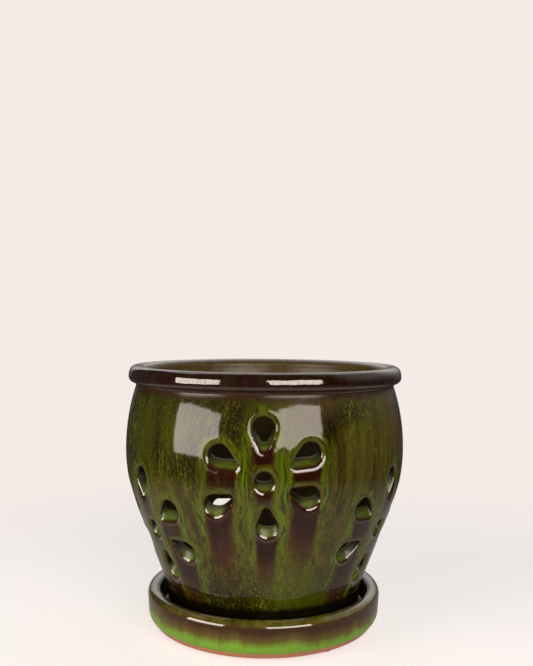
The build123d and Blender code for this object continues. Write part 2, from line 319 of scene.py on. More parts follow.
class Skin:
    """Gathers sheets of points, their faces and their painted fields into one closed mesh."""

    def __init__(self, field_names):
        self.points = []
        self.faces = []
        self.fields = {name: [] for name in field_names}
        self.total = 0

    def add(self, points, **fields):
        """Adds points, with x, y, z on the last axis, and gives back their numbers in the same layout."""
        flat = points.reshape(-1, 3)
        numbers = np.arange(self.total, self.total + len(flat)).reshape(points.shape[:-1])
        self.points.append(flat)
        for name, stored in self.fields.items():
            value = fields.get(name, 0.0)
            shape = (len(flat), 3) if name == "flow_place" else (len(flat),)
            if name == "flow_place" and name not in fields:
                value = flat
            stored.append(np.broadcast_to(np.asarray(value, float).reshape((-1,) + shape[1:]), shape))
        self.total += len(flat)
        return numbers

    def bridge(self, first, second):
        """Quads between two closed rings of equal count, facing right of the way from first to second."""
        following, beyond = np.roll(first, -1), np.roll(second, -1)
        self.faces.append(np.stack([first, following, beyond, second], axis=1))

    def rings(self, numbers):
        """Quads between each ring of a stack and the next."""
        for first, second in zip(numbers[:-1], numbers[1:]):
            self.bridge(first, second)

    def fan(self, ring, centre):
        """Closes a ring onto one middle point."""
        self.faces.append(np.stack([ring, np.roll(ring, -1), np.full_like(ring, centre)], axis=1))

    def build(self, name, material):
        """Makes the mesh object, shaded smooth."""
        mesh = bpy.data.meshes.new(name)
        points = np.concatenate(self.points)
        corners = np.concatenate([face.reshape(-1) for face in self.faces])
        sizes = np.concatenate([np.full(len(face), face.shape[1]) for face in self.faces])
        starts = np.concatenate([[0], np.cumsum(sizes)[:-1]])
        mesh.vertices.add(len(points))
        mesh.vertices.foreach_set("co", points.astype(np.float32).reshape(-1))
        mesh.loops.add(len(corners))
        mesh.loops.foreach_set("vertex_index", corners.astype(np.int32))
        mesh.polygons.add(len(sizes))
        mesh.polygons.foreach_set("loop_start", starts.astype(np.int32))
        mesh.polygons.foreach_set("use_smooth", np.ones(len(sizes), bool))
        mesh.update(calc_edges=True)
        if mesh.validate():
            raise RuntimeError(f"{name}: the mesh had faulty faces")
        for field, stored in self.fields.items():
            values = np.concatenate(stored).astype(np.float32)
            if field == "flow_place":
                layer = mesh.attributes.new(field, "FLOAT_VECTOR", "POINT")
                layer.data.foreach_set("vector", values.reshape(-1))
            else:
                layer = mesh.attributes.new(field, "FLOAT", "POINT")
                layer.data.foreach_set("value", values)
        mesh.materials.append(material)
        piece = bpy.data.objects.new(name, mesh)
        bpy.context.scene.collection.objects.link(piece)
        return piece


def arc(centre, radius, first, last, steps):
    """Points on an arc, from one angle in degrees to another: centre plus radius times cosine and sine."""
    angles = np.radians(np.linspace(first, last, steps + 1))
    return np.stack([centre[0] + radius * np.cos(angles), centre[1] + radius * np.sin(angles)], axis=1)


def straight(first, last, steps):
    """Points in even steps between two points, both ends left out."""
    shares = np.linspace(0, 1, steps + 1)[1:-1, None]
    return np.asarray(first) * (1 - shares) + np.asarray(last) * shares


def joined(start, *stretches):
    """A profile whose arcs are joined by straight lines, each given as its steps and the arc it leads to."""
    runs = [start]
    for steps, following in stretches:
        runs += [straight(runs[-1][-1], following[0], steps), following]
    return np.concatenate(runs)


def around_angles(columns):
    """Angles to the right of the front, one for each column, from the seam once round."""
    return SEAM + np.arange(columns) * 2 * pi / columns


def lathe(profile, angles, stray=None):
    """A profile of radius and height turned round the axis: x = r sin a, y = -r cos a, z = h."""
    radius, height = profile[:, 0, None], profile[:, 1, None]
    if stray is not None:
        radius = radius + stray(angles[None, :], height)
    ones = np.ones_like(angles)[None, :]
    return np.stack([radius * np.sin(angles), -radius * np.cos(angles), height * ones + radius * 0], axis=-1)


def smooth_step(low, high, values):
    """Rises smoothly from 0 at low to 1 at high."""
    share = np.clip((values - low) / (high - low), 0, 1)
    return share * share * (3 - 2 * share)


def wrapped(angles):
    """Angles brought back to between minus and plus half a turn."""
    return (angles + pi) % (2 * pi) - pi


class Wall:
    """The pot's wall as a map from angle round, length up the outer face from the belly, and depth."""

    def __init__(self, sizes):
        self.sizes = sizes
        self.belly = sizes.belly_radius
        self.height = sizes.belly_height
        self.upper = sizes.upper_bulge
        self.lower = sizes.lower_bulge
        self.flank = sizes.flank
        self.thickness = sizes.wall

    def profile(self, along, depth):
        """Radius and height: two arcs about their own centres, less the depth, then a straight flank."""
        rise = np.clip(along, 0, None) / self.upper
        fall = np.clip(-along / self.lower, 0, self.flank)
        extra = np.clip(-along - self.lower * self.flank, 0, None)
        up_radius = self.belly - self.upper + (self.upper - depth) * np.cos(rise)
        up_height = self.height + (self.upper - depth) * np.sin(rise)
        low_radius = self.belly - self.lower + (self.lower - depth) * np.cos(fall) - extra * sin(self.flank)
        low_height = self.height - (self.lower - depth) * np.sin(fall) - extra * cos(self.flank)
        above = along > 0
        return np.where(above, up_radius, low_radius), np.where(above, up_height, low_height)

    def stray(self, angles, heights):
        """How far in the outer face strays, never outwards: a few slow waves round and up, added up."""
        waves = np.sin(2 * angles + 0.7) + 0.8 * np.sin(5 * angles + 55 * heights + 2.1)
        waves = waves + 0.7 * np.sin(130 * heights + 3 * angles) + 0.45 * np.sin(9 * angles - 90 * heights)
        crest = 1 + 0.8 + 0.7 + 0.45
        return self.sizes.waviness * (waves - crest) / crest

    def place(self, angles, along, depth):
        """Points of the wall in x, y, z."""
        radius, height = self.profile(along, depth)
        shallow = 1 - smooth_step(0, self.thickness, depth)
        radius = radius + self.stray(angles, height) * shallow
        return np.stack([radius * np.sin(angles), -radius * np.cos(angles), height], axis=-1)

    def locate(self, points):
        """The map the other way: angle, length up and depth of points near the wall."""
        radius = np.hypot(points[..., 0], points[..., 1])
        angles = np.arctan2(points[..., 0], -points[..., 1])
        height = points[..., 2] - self.height
        up_across = radius - self.belly + self.upper
        up_along = self.upper * np.arctan2(height, up_across)
        up_depth = self.upper - np.hypot(up_across, height)
        low_across = radius - self.belly + self.lower
        fall = np.arctan2(-height, low_across)
        low_along = -self.lower * fall
        low_depth = self.lower - np.hypot(low_across, height)
        start_across = low_across - self.lower * cos(self.flank)
        start_height = height + self.lower * sin(self.flank)
        flank_depth = -(start_across * cos(self.flank) - start_height * sin(self.flank))
        up_flank = start_across * sin(self.flank) + start_height * cos(self.flank)
        flank_along = up_flank - self.lower * self.flank
        straight_part = fall > self.flank
        along = np.where(height > 0, up_along, np.where(straight_part, flank_along, low_along))
        depth = np.where(height > 0, up_depth, np.where(straight_part, flank_depth, low_depth))
        return angles, along, depth

    def along_at(self, height, depth=0.0):
        """Length up the outer face of the place that has this height at this depth."""
        if height > self.height:
            return self.upper * asin((height - self.height) / (self.upper - depth))
        fall = (self.height - height) / (self.lower - depth)
        if fall < sin(self.flank):
            return -self.lower * asin(fall)
        extra = (self.height - height - (self.lower - depth) * sin(self.flank)) / cos(self.flank)
        return -self.lower * self.flank - extra

    def lean_at(self, height):
        """Angle that the outer face leans in at this height, negative above the belly."""
        along = self.along_at(height)
        if along > 0:
            return -along / self.upper
        return min(-along / self.lower, self.flank)


def drop_outline(sizes):
    """A drop as points and outward directions: a wide arc, two tangents and a narrow arc."""
    wide, tip = sizes.petal_width / 2, sizes.tip_radius
    span = sizes.petal_length - wide - tip
    lean = degrees(asin((wide - tip) / span))
    wide_centre = (sizes.petal_length / 2 - wide, 0)
    tip_centre = (wide_centre[0] - span, 0)
    wide_arc = arc(wide_centre, wide, -90 - lean, 90 + lean, 22)
    tip_arc = arc(tip_centre, tip, 90 + lean, 270 - lean, 12)
    upper, lower = straight(wide_arc[-1], tip_arc[0], 7), straight(tip_arc[-1], wide_arc[0], 7)
    points = np.concatenate([wide_arc, upper, tip_arc, lower])
    wide_way = arc((0, 0), 1, -90 - lean, 90 + lean, 22)
    tip_way = arc((0, 0), 1, 90 + lean, 270 - lean, 12)
    upper_way, lower_way = np.tile(wide_way[-1], (len(upper), 1)), np.tile(tip_way[-1], (len(lower), 1))
    return points, np.concatenate([wide_way, upper_way, tip_way, lower_way])


def round_outline(radius):
    """A circle as points and outward directions."""
    way = arc((0, 0), 1, 0, 360, 40)[:-1]
    return way * radius, way


def slot_list(sizes, wall):
    """Every slot as its angle, height, turn and outline.

    A petal is above its flower's middle by reach times the cosine of its turn, and aside by reach times
    the sine.
    """
    flowers = [(a, sizes.high_height, HIGH_TURNS, HIGH_SHARES) for a in HIGH_FLOWER_ANGLES]
    low_tables = [(LEFT_TURNS, LEFT_SHARES), (RIGHT_TURNS, RIGHT_SHARES), (LEFT_TURNS, LEFT_SHARES)]
    low_heights = [sizes.low_height, sizes.low_height, sizes.back_height]
    flowers += [(a, h, *tables) for a, h, tables in zip(LOW_FLOWER_ANGLES, low_heights, low_tables)]
    petal, hub = drop_outline(sizes), round_outline(sizes.hub_radius)
    slots = []
    for angle, height, turns, shares in flowers:
        slots.append((radians(angle), height, 0.0, hub))
        for turned, share in zip(turns, shares):
            reach = sizes.reach * share
            petal_height = height + reach * cos(radians(turned))
            radius = float(wall.profile(np.array(wall.along_at(petal_height)), 0.0)[0])
            sideways = reach * sin(radians(turned)) / radius
            slots.append((radians(angle) + sideways, petal_height, radians(turned), petal))
    return slots


def slot_rings(slot, offsets, lifts, depths, wall):
    """Rings of a slot: its outline moved out by each offset and sunk to each depth as the cut goes.

    The lower side is raised by each lift, times its share of the way down to the power 1.5. The way to
    a depth is found in a few steps, each one going on by what is still missing.
    """
    angle, height, turned, (outline, way) = slot
    raised = np.array([cos(turned), sin(turned)])
    level = outline @ raised
    lowness = ((level.max() - level) / (level.max() - level.min())) ** 1.5
    lean = wall.lean_at(height)
    outward = np.array([sin(angle), -cos(angle), 0])
    sideways = np.array([cos(angle), sin(angle), 0])
    normal = outward * cos(lean) - np.array([0, 0, sin(lean)])
    up = outward * sin(lean) + np.array([0, 0, cos(lean)])
    along = up * cos(turned) + sideways * sin(turned)
    across = np.cross(normal, along)
    radius, level = wall.profile(np.array(wall.along_at(height)), 0.0)
    middle = outward * float(radius) + np.array([0, 0, float(level)])
    flat = outline[None] + way[None] * np.asarray(offsets)[:, None, None]
    flat = flat + (np.asarray(lifts)[:, None] * lowness)[..., None] * raised
    points = middle + flat[..., :1] * along + flat[..., 1:] * across
    wanted = np.asarray(depths)[:, None]
    sunk = np.zeros(points.shape[:-1])
    for _ in range(5):
        reached = wall.locate(points - normal * sunk[..., None])[2]
        sunk = sunk + wanted - reached
    angles, lengths, _ = wall.locate(points - normal * sunk[..., None])
    return angle + wrapped(angles - angle), lengths, np.broadcast_to(wanted, lengths.shape)


def outline_gap(across, up, edge_across, edge_up):
    """Distance from points to a closed outline, negative inside it."""
    ax, ay = edge_across, edge_up
    bx, by = np.roll(ax, -1) - ax, np.roll(ay, -1) - ay
    px, py = across[:, None] - ax, up[:, None] - ay
    share = np.clip((px * bx + py * by) / (bx * bx + by * by), 0, 1)
    gap = np.sqrt(((px - share * bx) ** 2 + (py - share * by) ** 2).min(axis=1))
    crosses = (ay > up[:, None]) != (np.roll(ay, -1) > up[:, None])
    with np.errstate(divide="ignore", invalid="ignore"):
        meets = ax + (up[:, None] - ay) * bx / by
    inside = (crosses & (across[:, None] < meets)).sum(axis=1) % 2 == 1
    return np.where(inside, -gap, gap)


def across_outline(angles, along, slot_edge, wall):
    """Points and a slot's outline laid flat about the slot's middle, as lengths across and up."""
    slot_angle, edge_angles, edge_along = slot_edge
    middle = edge_along.mean()
    radius = float(wall.profile(middle[None], 0.0)[0][0])
    flat = wrapped(angles - slot_angle) * radius, along - middle
    outline = (edge_angles - slot_angle) * radius, edge_along - middle
    return flat, outline, radius


def lower_side(across, edge_across, edge_up):
    """Height of an outline's lower side at each place across, and the height where it is widest."""
    ends = [edge_across.min(), edge_across.max()]
    heights = [edge_up[edge_across.argmin()], edge_up[edge_across.argmax()]]
    lower = edge_up < np.interp(edge_across, ends, heights)
    order = np.argsort(edge_across[lower])
    level = np.interp(across, edge_across[lower][order], edge_up[lower][order])
    return level, sum(heights) / 2


def glaze_fields(angles, along, edges, wall, marks):
    """How the glaze ran, worked out slot by slot from the top down.

    halo is the share of thick glaze held up above and beside a slot and run that of the stream beside it.
    drip is the distance inside the brown band under a slot, drip_age how far below the slot the band is
    and edge the distance outside the nearest slot. flow_place is the place on a pot with no slots that
    the glaze would come from. The arch fades smoothly outwards and by an exponential downwards, and the
    stream is a bell curve across.
    """
    shape = angles.shape
    angles, along = angles.reshape(-1), along.reshape(-1)
    halo, run, drift = np.zeros_like(angles), np.zeros_like(angles), np.zeros_like(angles)
    drip, age = np.full_like(angles, -FAR), np.full_like(angles, FAR)
    edge = np.full_like(angles, FAR)
    for slot_edge in sorted(edges, key=lambda item: -item[2].mean()):
        (across, up), (edge_across, edge_up), radius = across_outline(angles, along, slot_edge, wall)
        size = 0.5 * sqrt(np.ptp(edge_across) * np.ptp(edge_up))
        reach_squared = np.clip(across**2 + up**2, size**2, None)
        bent = (marks.drift * size) ** 2 / reach_squared * np.exp(-reach_squared / marks.drift_spread**2)
        drift -= across * bent / radius
        reach = np.ptp(edge_across) + 2 * marks.arch_outer
        near = (np.abs(across) < reach) & (up < 2 * reach) & (up > -6 * reach)
        a, u = across[near], up[near]
        level, widest = lower_side(a, edge_across, edge_up)
        gap = outline_gap(a, u, edge_across, edge_up)
        side = np.minimum(a - edge_across.min(), edge_across.max() - a)
        below = level - u
        outside = np.where(u > widest, gap, -side)
        falling = np.clip(widest - u, 0, None)
        arch = 1 - smooth_step(marks.arch_inner, marks.arch_outer, outside + marks.arch_thinning * falling)
        strength = arch * np.exp(-falling / marks.arch_fall)
        stream = np.exp(-(((outside - marks.stream_middle) / marks.stream_spread) ** 2))
        under_top = smooth_step(marks.arch_outer, -marks.arch_outer, u - widest)
        stream *= np.exp(-falling / marks.stream_fall) * under_top
        band = np.minimum(side + marks.drip_margin, below + marks.drip_overlap)
        own = band > 0
        age[near] = np.where(own, np.clip(below, 0, FAR), age[near])
        drip[near] = np.maximum(np.minimum(drip[near], outside - marks.drip_parting), band)
        halo[near] = np.where(own, 0, np.maximum(halo[near], strength))
        run[near] = np.where(own, 0, np.maximum(run[near], stream))
        edge[near] = np.where(np.abs(gap) < np.abs(edge[near]), gap, edge[near])
    home = angles + drift
    radius, height = wall.profile(along, 0.0)
    flow_place = np.stack([radius * np.sin(home), -radius * np.cos(home), height], axis=-1)
    fields = {"halo": halo, "run": run, "drip": drip, "drip_age": age, "edge": edge}
    fields = {name: value.reshape(shape) for name, value in fields.items()}
    fields["flow_place"] = flow_place.reshape(shape + (3,))
    return fields


def holed_sheet(columns, rows_along, ring_angles, ring_along, wall):
    """Even points over the unrolled wall, kept clear of the slots, and the triangles that fill in between.

    Gives the angle and the length up of every point, the triangles, the numbers of the grid's points and
    of each ring's points, and for every point the one that it is merged into where the sheet closes.
    """
    scale = wall.belly
    grid_angles = SEAM + np.arange(columns + 1) * 2 * pi / columns
    grid_a, grid_s = np.meshgrid(grid_angles, rows_along)
    spacing = scale * 2 * pi / columns
    closest, margin = 0.55 * spacing, 2 * spacing
    ring_a = [SEAM + (a - SEAM) % (2 * pi) for a in ring_angles]
    keep = np.ones(grid_a.shape, bool)
    for a, s in zip(ring_a, ring_along):
        low_a, high_a, low_s, high_s = a.min(), a.max(), s.min(), s.max()
        near = (grid_a * scale > low_a * scale - margin) & (grid_a * scale < high_a * scale + margin)
        near &= (grid_s > low_s - margin) & (grid_s < high_s + margin)
        keep[near] &= outline_gap(grid_a[near] * scale, grid_s[near], a * scale, s) > closest
    edge_points = np.zeros(grid_a.shape, bool)
    edge_points[0] = edge_points[-1] = True
    edge_points[:, 0] = edge_points[:, -1] = True
    keep |= edge_points
    number = np.full(grid_a.shape, -1)
    number[keep] = np.arange(keep.sum())
    flat = np.stack([grid_a[keep] * scale, grid_s[keep]], axis=1)
    border = np.concatenate([number[0, :-1], number[:-1, -1], number[-1, :0:-1], number[:0:-1, 0]])
    lines = [np.stack([border, np.roll(border, -1)], axis=1)]
    total = len(flat)
    ring_numbers = []
    sheets = [flat]
    for a, s in zip(ring_a, ring_along):
        numbers = np.arange(total, total + len(a))
        total += len(a)
        ring_numbers.append(numbers)
        sheets.append(np.stack([a * scale, s], axis=1))
        lines.append(np.stack([numbers, np.roll(numbers, -1)], axis=1))
    flat = np.concatenate(sheets)
    lines = np.concatenate(lines)
    triangles = filled_flat(flat, lines, ring_numbers)
    angles, along = flat[:, 0] / scale, flat[:, 1]
    right_side, left_side = number[:, -1], number[:, 0]
    merged = np.arange(total)
    merged[right_side] = left_side
    return angles, along, merged[triangles], number, ring_numbers, merged


def filled_flat(flat, lines, rings):
    """Triangles between flat points that keep to the given lines, with the inside of each ring left open."""
    inside_lines, tolerance = 1, 1e-9
    spots = [Vector(point) for point in flat.tolist()]
    found = delaunay_2d_cdt(spots, lines.tolist(), [], inside_lines, tolerance)
    if len(found[0]) != len(flat):
        raise RuntimeError(f"rings cross each other: {len(found[0])} points from {len(flat)}")
    back = np.array([origin[0] for origin in found[3]])
    triangles = back[np.array(found[2])]
    owner, spot = np.full(len(flat), -1), np.zeros(len(flat), int)
    for number, ring in enumerate(rings):
        owner[ring] = number
        spot[ring] = np.arange(len(ring))
    owners, spots = owner[triangles], spot[triangles]
    same = (owners[:, 0] >= 0) & (owners[:, 0] == owners[:, 1]) & (owners[:, 1] == owners[:, 2])
    forward = (spots < np.roll(spots, -1, axis=1)).sum(axis=1) == 2
    return triangles[~(same & forward)]


def add_sheet(skin, wall, columns, rows_along, depth, rings, fields, inward):
    """Puts a holed sheet of the wall at one depth into the skin and gives its rows' and rings' numbers."""
    angles, along, triangles, grid, ring_numbers, merged = holed_sheet(
        columns, rows_along, [r[0] for r in rings], [r[1] for r in rings], wall
    )
    used, compact = np.unique(merged, return_inverse=True)
    numbers = skin.add(wall.place(angles[used], along[used], depth), **fields(angles[used], along[used]))
    compact = numbers[compact]
    faces = compact[triangles]
    skin.faces.append(faces[:, ::-1] if inward else faces)
    return compact[grid[0, :-1]], compact[grid[-1, :-1]], [compact[r] for r in ring_numbers]


def circles_meet(first, first_radius, second, second_radius):
    """The meeting point of two circles that lies further out, lower down."""
    gap = hypot(second[0] - first[0], second[1] - first[1])
    along = (gap**2 + first_radius**2 - second_radius**2) / (2 * gap)
    aside = sqrt(first_radius**2 - along**2)
    way = ((second[0] - first[0]) / gap, (second[1] - first[1]) / gap)
    return first[0] + way[0] * along + way[1] * aside, first[1] + way[1] * along - way[0] * aside


def rounded_corner(before, corner, after, radius, steps):
    """An arc that touches both sides of a corner."""
    corner = np.array(corner, float)
    one, two = np.array(before) - corner, np.array(after) - corner
    one, two = one / np.hypot(*one), two / np.hypot(*two)
    half = np.arccos(np.clip(one @ two, -1, 1)) / 2
    bisector = (one + two) / np.hypot(*(one + two))
    centre = corner + bisector * radius / sin(half)
    start, end = corner + one * radius / tan(half) - centre, corner + two * radius / tan(half) - centre
    first, last = atan2(start[1], start[0]), atan2(end[1], end[0])
    sweep = wrapped(last - first)
    return arc(centre, radius, degrees(first), degrees(first + sweep), steps)


def pressed_roll(centre, first, last, steps, sizes):
    """Points on a roll pressed a little square, from one angle in degrees to another.

    The distance from the centre is the radius over the root of |cos|^power + |sin|^power, with the angle
    taken from the lean, made smaller so that the roll is as wide as a round one, and round again where it
    starts.
    """
    power, lean = sizes.roll_power, sizes.roll_lean
    angles = np.radians(np.linspace(first, last, steps + 1))
    turned = angles - lean
    reach = (np.abs(np.cos(turned)) ** power + np.abs(np.sin(turned)) ** power) ** (-1 / power)
    dual = power / (power - 1)
    widest = (cos(lean) ** dual + sin(lean) ** dual) ** (1 / dual)
    pressed = smooth_step(angles[0], angles[0] + radians(30), angles)
    reach = sizes.roll_radius * (1 + pressed * (reach / widest - 1))
    return np.stack([centre[0] + reach * np.cos(angles), centre[1] + reach * np.sin(angles)], axis=1)


def rim_profile(sizes, wall):
    """From the top of the outer wall, through the groove and over the roll to the top of the inner wall."""
    roll = (sizes.roll_reach, POT_HIGH.z - sizes.roll_radius)
    upper_centre = (wall.belly - wall.upper, wall.height)
    groove = sizes.groove_radius
    centre = circles_meet(upper_centre, wall.upper + groove, roll, sizes.roll_radius + groove)
    wall_angle = degrees(atan2(centre[1] - upper_centre[1], centre[0] - upper_centre[0]))
    roll_angle = degrees(atan2(centre[1] - roll[1], centre[0] - roll[0]))
    groove_arc = arc(centre, groove, wall_angle + 180, roll_angle + 180, 5)
    roll_arc = pressed_roll(roll, roll_angle, 180, 32, sizes)[1:]
    inner_along = np.array(wall.along_at(sizes.neck_height, wall.thickness))
    inner_top = np.array(wall.profile(inner_along, wall.thickness))
    collar = straight(roll_arc[-1], inner_top, 4)
    return wall.upper * radians(wall_angle), np.concatenate([groove_arc[1:], roll_arc, collar])


def foot_profile(sizes, wall):
    """From low on the inner wall, over the floor, through the drain and round the foot to the band."""
    low = POT_LOW.z
    floor_top = low + sizes.recess + sizes.floor_thickness
    recess_top = low + sizes.recess
    foot_along = wall.along_at(floor_top, wall.thickness)
    floor_corner = np.array(wall.profile(np.array(foot_along), wall.thickness))
    above = np.array(wall.profile(np.array(foot_along + 20 * MM), wall.thickness))
    drain = sizes.drain_radius
    bend = rounded_corner(above, floor_corner, (drain, floor_top), sizes.corner_radius, 7)
    start_along = foot_along + hypot(*(bend[0] - floor_corner))
    band_top = np.array(wall.profile(np.array(wall.along_at(sizes.band_top)), 0.0))
    outer = band_top[0] - sizes.band_taper
    inner = outer - sizes.ring_width
    soft = sizes.edge_radius
    drain_top = rounded_corner((outer, floor_top), (drain, floor_top), (drain, recess_top), soft, 4)
    drain_low = rounded_corner((drain, floor_top), (drain, recess_top), (outer, recess_top), soft, 4)
    recess = rounded_corner((drain, recess_top), (inner, recess_top), (inner, low), soft, 4)
    ring_in = rounded_corner((inner, recess_top), (inner, low), (outer, low), soft, 4)
    ring_out = rounded_corner((inner, low), (outer, low), band_top, soft, 4)
    profile = joined(bend[1:], (12, drain_top), (3, drain_low), (6, recess), (2, ring_in), (4, ring_out))
    return start_along, np.concatenate([profile, straight(ring_out[-1], band_top, 7)])


def slot_section(sizes, wall):
    """A slot's section from the outer face in: how far out each ring lies, how lifted below and how deep.

    Both roundings are quarter ellipses: offset = width (1 - sin t) and depth = depth (1 - cos t).
    """
    outer_turns = np.linspace(0, pi / 2, 9)
    inner_turns = np.linspace(pi / 2, 0, 6)
    inner_start = wall.thickness - sizes.inner_depth
    outer_offsets = sizes.shoulder_width * (1 - np.sin(outer_turns))
    outer_depths = sizes.shoulder_depth * (1 - np.cos(outer_turns))
    middle_depths = np.linspace(sizes.shoulder_depth, inner_start, 5)[1:-1]
    inner_offsets = sizes.inner_width * (1 - np.sin(inner_turns))
    inner_depths = wall.thickness - sizes.inner_depth * (1 - np.cos(inner_turns))
    offsets = np.concatenate([outer_offsets, middle_depths * 0, inner_offsets])
    depths = np.concatenate([outer_depths, middle_depths, inner_depths])
    sunk = smooth_step(0.5 * sizes.shoulder_depth, inner_start, depths)
    lifts = sunk * sizes.low_lift
    lifts[:len(outer_turns)] -= sizes.low_bevel * (1 - np.sin(outer_turns))
    return offsets - sunk * sizes.side_pinch, lifts, depths


def pot_skin(pot, slot_sizes, marks):
    """The whole pot: two sheets with slots, the slots' own walls, and the turned rim, floor and foot."""
    wall = Wall(pot)
    skin = Skin(POT_FIELDS)
    offsets, lifts, depths = slot_section(slot_sizes, wall)
    rings, edges = [], []
    for slot in slot_list(slot_sizes, wall):
        rings.append(slot_rings(slot, offsets, lifts, depths, wall))
        edge_angles, edge_along, _ = slot_rings(slot, [0.0], [0.0], [0.0], wall)
        edges.append((slot[0], edge_angles[0], edge_along[0]))

    def painted(angles, along):
        return glaze_fields(angles, along, edges, wall, marks)

    def plain(angles, along):
        return {"inside": np.ones_like(angles), **UNTOUCHED}

    top_along, rim = rim_profile(pot, wall)
    low_along, foot = foot_profile(pot, wall)
    inner_top = wall.along_at(pot.neck_height, wall.thickness)
    outer_rows = np.linspace(wall.along_at(pot.band_top), top_along, pot.outer_rows)
    inner_rows = np.linspace(low_along, inner_top, pot.inner_rows)
    outer_rings = [(angles[0], along[0]) for angles, along, _ in rings]
    inner_rings = [(angles[-1], along[-1]) for angles, along, _ in rings]
    outer = add_sheet(skin, wall, pot.columns, outer_rows, 0.0, outer_rings, painted, False)
    inner = add_sheet(skin, wall, pot.columns, inner_rows, wall.thickness, inner_rings, plain, True)
    for ring, first, last in zip(rings, outer[2], inner[2]):
        add_slot_wall(skin, wall, slot_sizes, offsets, ring, first, last, painted)
    add_rim(skin, pot, wall, rim, outer[1], inner[1])
    add_foot(skin, pot, wall, foot, inner[0], outer[0])
    return skin


def add_slot_wall(skin, wall, sizes, offsets, ring, first, last, painted):
    """The glazed walls of one slot, joined to the outer and the inner sheet at its first and last rings."""
    angles, along, depth = [part[1:-1] for part in ring]
    fields = painted(angles, along)
    sunk = depth - sizes.shoulder_depth
    fields["edge"] = np.where(sunk > 0, -sunk, offsets[1:-1, None] + 0 * angles)
    edge_along = ring[1][0]
    middle = (edge_along.max() + edge_along.min()) / 2
    fields["tunnel"] = smooth_step(0.3 * sizes.shoulder_depth, 1.1 * sizes.shoulder_depth, depth)
    fields["low_side"] = np.clip(2 * (middle - along) / np.ptp(edge_along), -1, 1)
    fields["inside"] = smooth_step(0.6 * wall.thickness, wall.thickness, depth)
    numbers = skin.add(wall.place(angles, along, depth), **fields)
    skin.rings([first, *numbers, last])


def add_rim(skin, pot, wall, rim, outer_ring, inner_ring):
    """The groove, the rolled rim and the slope inside it, turned round and joined to both sheets."""

    def stray(angles, heights):
        settled = smooth_step(pot.neck_height, pot.neck_height + pot.rim_settling, heights)
        return wall.stray(angles, heights) * (1 - settled)

    angles = around_angles(pot.columns)
    inner_rows = 9
    inner_slope = np.arange(len(rim)) >= len(rim) - inner_rows
    inside = np.repeat(inner_slope.astype(float), len(angles))
    numbers = skin.add(lathe(rim, angles, stray), inside=inside, **UNTOUCHED)
    skin.rings([outer_ring, *numbers, inner_ring])


def add_foot(skin, pot, wall, foot, inner_ring, outer_ring):
    """The floor, the drain hole, the foot ring and the foot band, turned round and joined to both sheets."""

    def stray(angles, heights):
        return wall.stray(angles, heights) * smooth_step(POT_LOW.z, pot.band_top, heights)

    angles = around_angles(pot.columns)
    radius, height = foot[:, 0], foot[:, 1]
    over_recess, inside_band = 0.2 * MM, 0.7 * MM
    bare = (height < POT_LOW.z + pot.recess + over_recess) & (radius < radius.max() - inside_band)
    floor_rows, band_rows = 22, 7
    on_floor = np.arange(len(foot)) < floor_rows
    outer_side = np.arange(len(foot)) >= len(foot) - band_rows
    points = np.where(outer_side[:, None, None], lathe(foot, angles, stray), lathe(foot, angles))
    fields = {"inside": np.repeat(on_floor.astype(float), len(angles)), **UNTOUCHED}
    fields["bare"] = np.repeat(bare.astype(float), len(angles))
    numbers = skin.add(points, **fields)
    skin.rings([inner_ring, *numbers, outer_ring])


def saucer_profile(sizes):
    """From the base's edge up the wall, over the full round lip and into the dish to near its middle."""
    outer, lip, low, floor = sizes.outer_radius, sizes.lip_thickness / 2, sizes.underside, sizes.floor_top
    inner, base = outer - 2 * lip, outer - sizes.base_step
    lip_level = SAUCER_HIGH.z - lip
    shoulder = (outer - sizes.wall_lean, low + sizes.shoulder_rise)
    base_edge = rounded_corner((0, low), (base, low), shoulder, sizes.base_rounding, 3)
    turn_arc = rounded_corner((base, low), shoulder, (outer, lip_level), sizes.turn_radius, 9)
    lip_arc = arc((outer - lip, lip_level), lip, 0, 180, 26)
    corner = rounded_corner((inner, lip_level), (inner, floor), (0, floor), sizes.corner_radius, 7)
    near_middle = np.array([[1.5 * MM, floor]])
    return joined(base_edge, (3, turn_arc), (7, lip_arc), (4, corner), (16, near_middle))


def saucer_skin(sizes):
    """The saucer: a turned dish with a round lip, its underside filled round the low clay feet."""
    skin = Skin(["bare"])
    profile = saucer_profile(sizes)
    radius, height = profile[:, 0], profile[:, 1]
    inner = sizes.outer_radius - sizes.lip_thickness

    def stray(angles, heights):
        """Two slow waves round and up, added up, that only draw the wall in and end at the underside."""
        waves = np.sin(3 * angles + 1.2) + 0.6 * np.sin(7 * angles + 260 * heights)
        crest = 1 + 0.6
        above = smooth_step(sizes.underside, 2 * sizes.underside, heights)
        return sizes.waviness * (waves - crest) / crest * above

    angles = around_angles(sizes.columns)
    outside = (radius > inner + sizes.lip_thickness / 4)[:, None, None]
    points = np.where(outside, lathe(profile, angles, stray), lathe(profile, angles))
    bare = 1 - smooth_step(sizes.underside + sizes.clay_full, sizes.underside + sizes.clay_end, height)
    bare = np.where(radius > inner, bare, 0)
    numbers = skin.add(points, bare=np.repeat(bare, len(angles)))
    skin.rings(numbers)
    middle = skin.add(np.array([[0.0, 0.0, sizes.floor_top]]))[0]
    skin.fan(numbers[-1], middle)
    add_underside(skin, sizes, numbers[0], points[0][:, :2])
    return skin


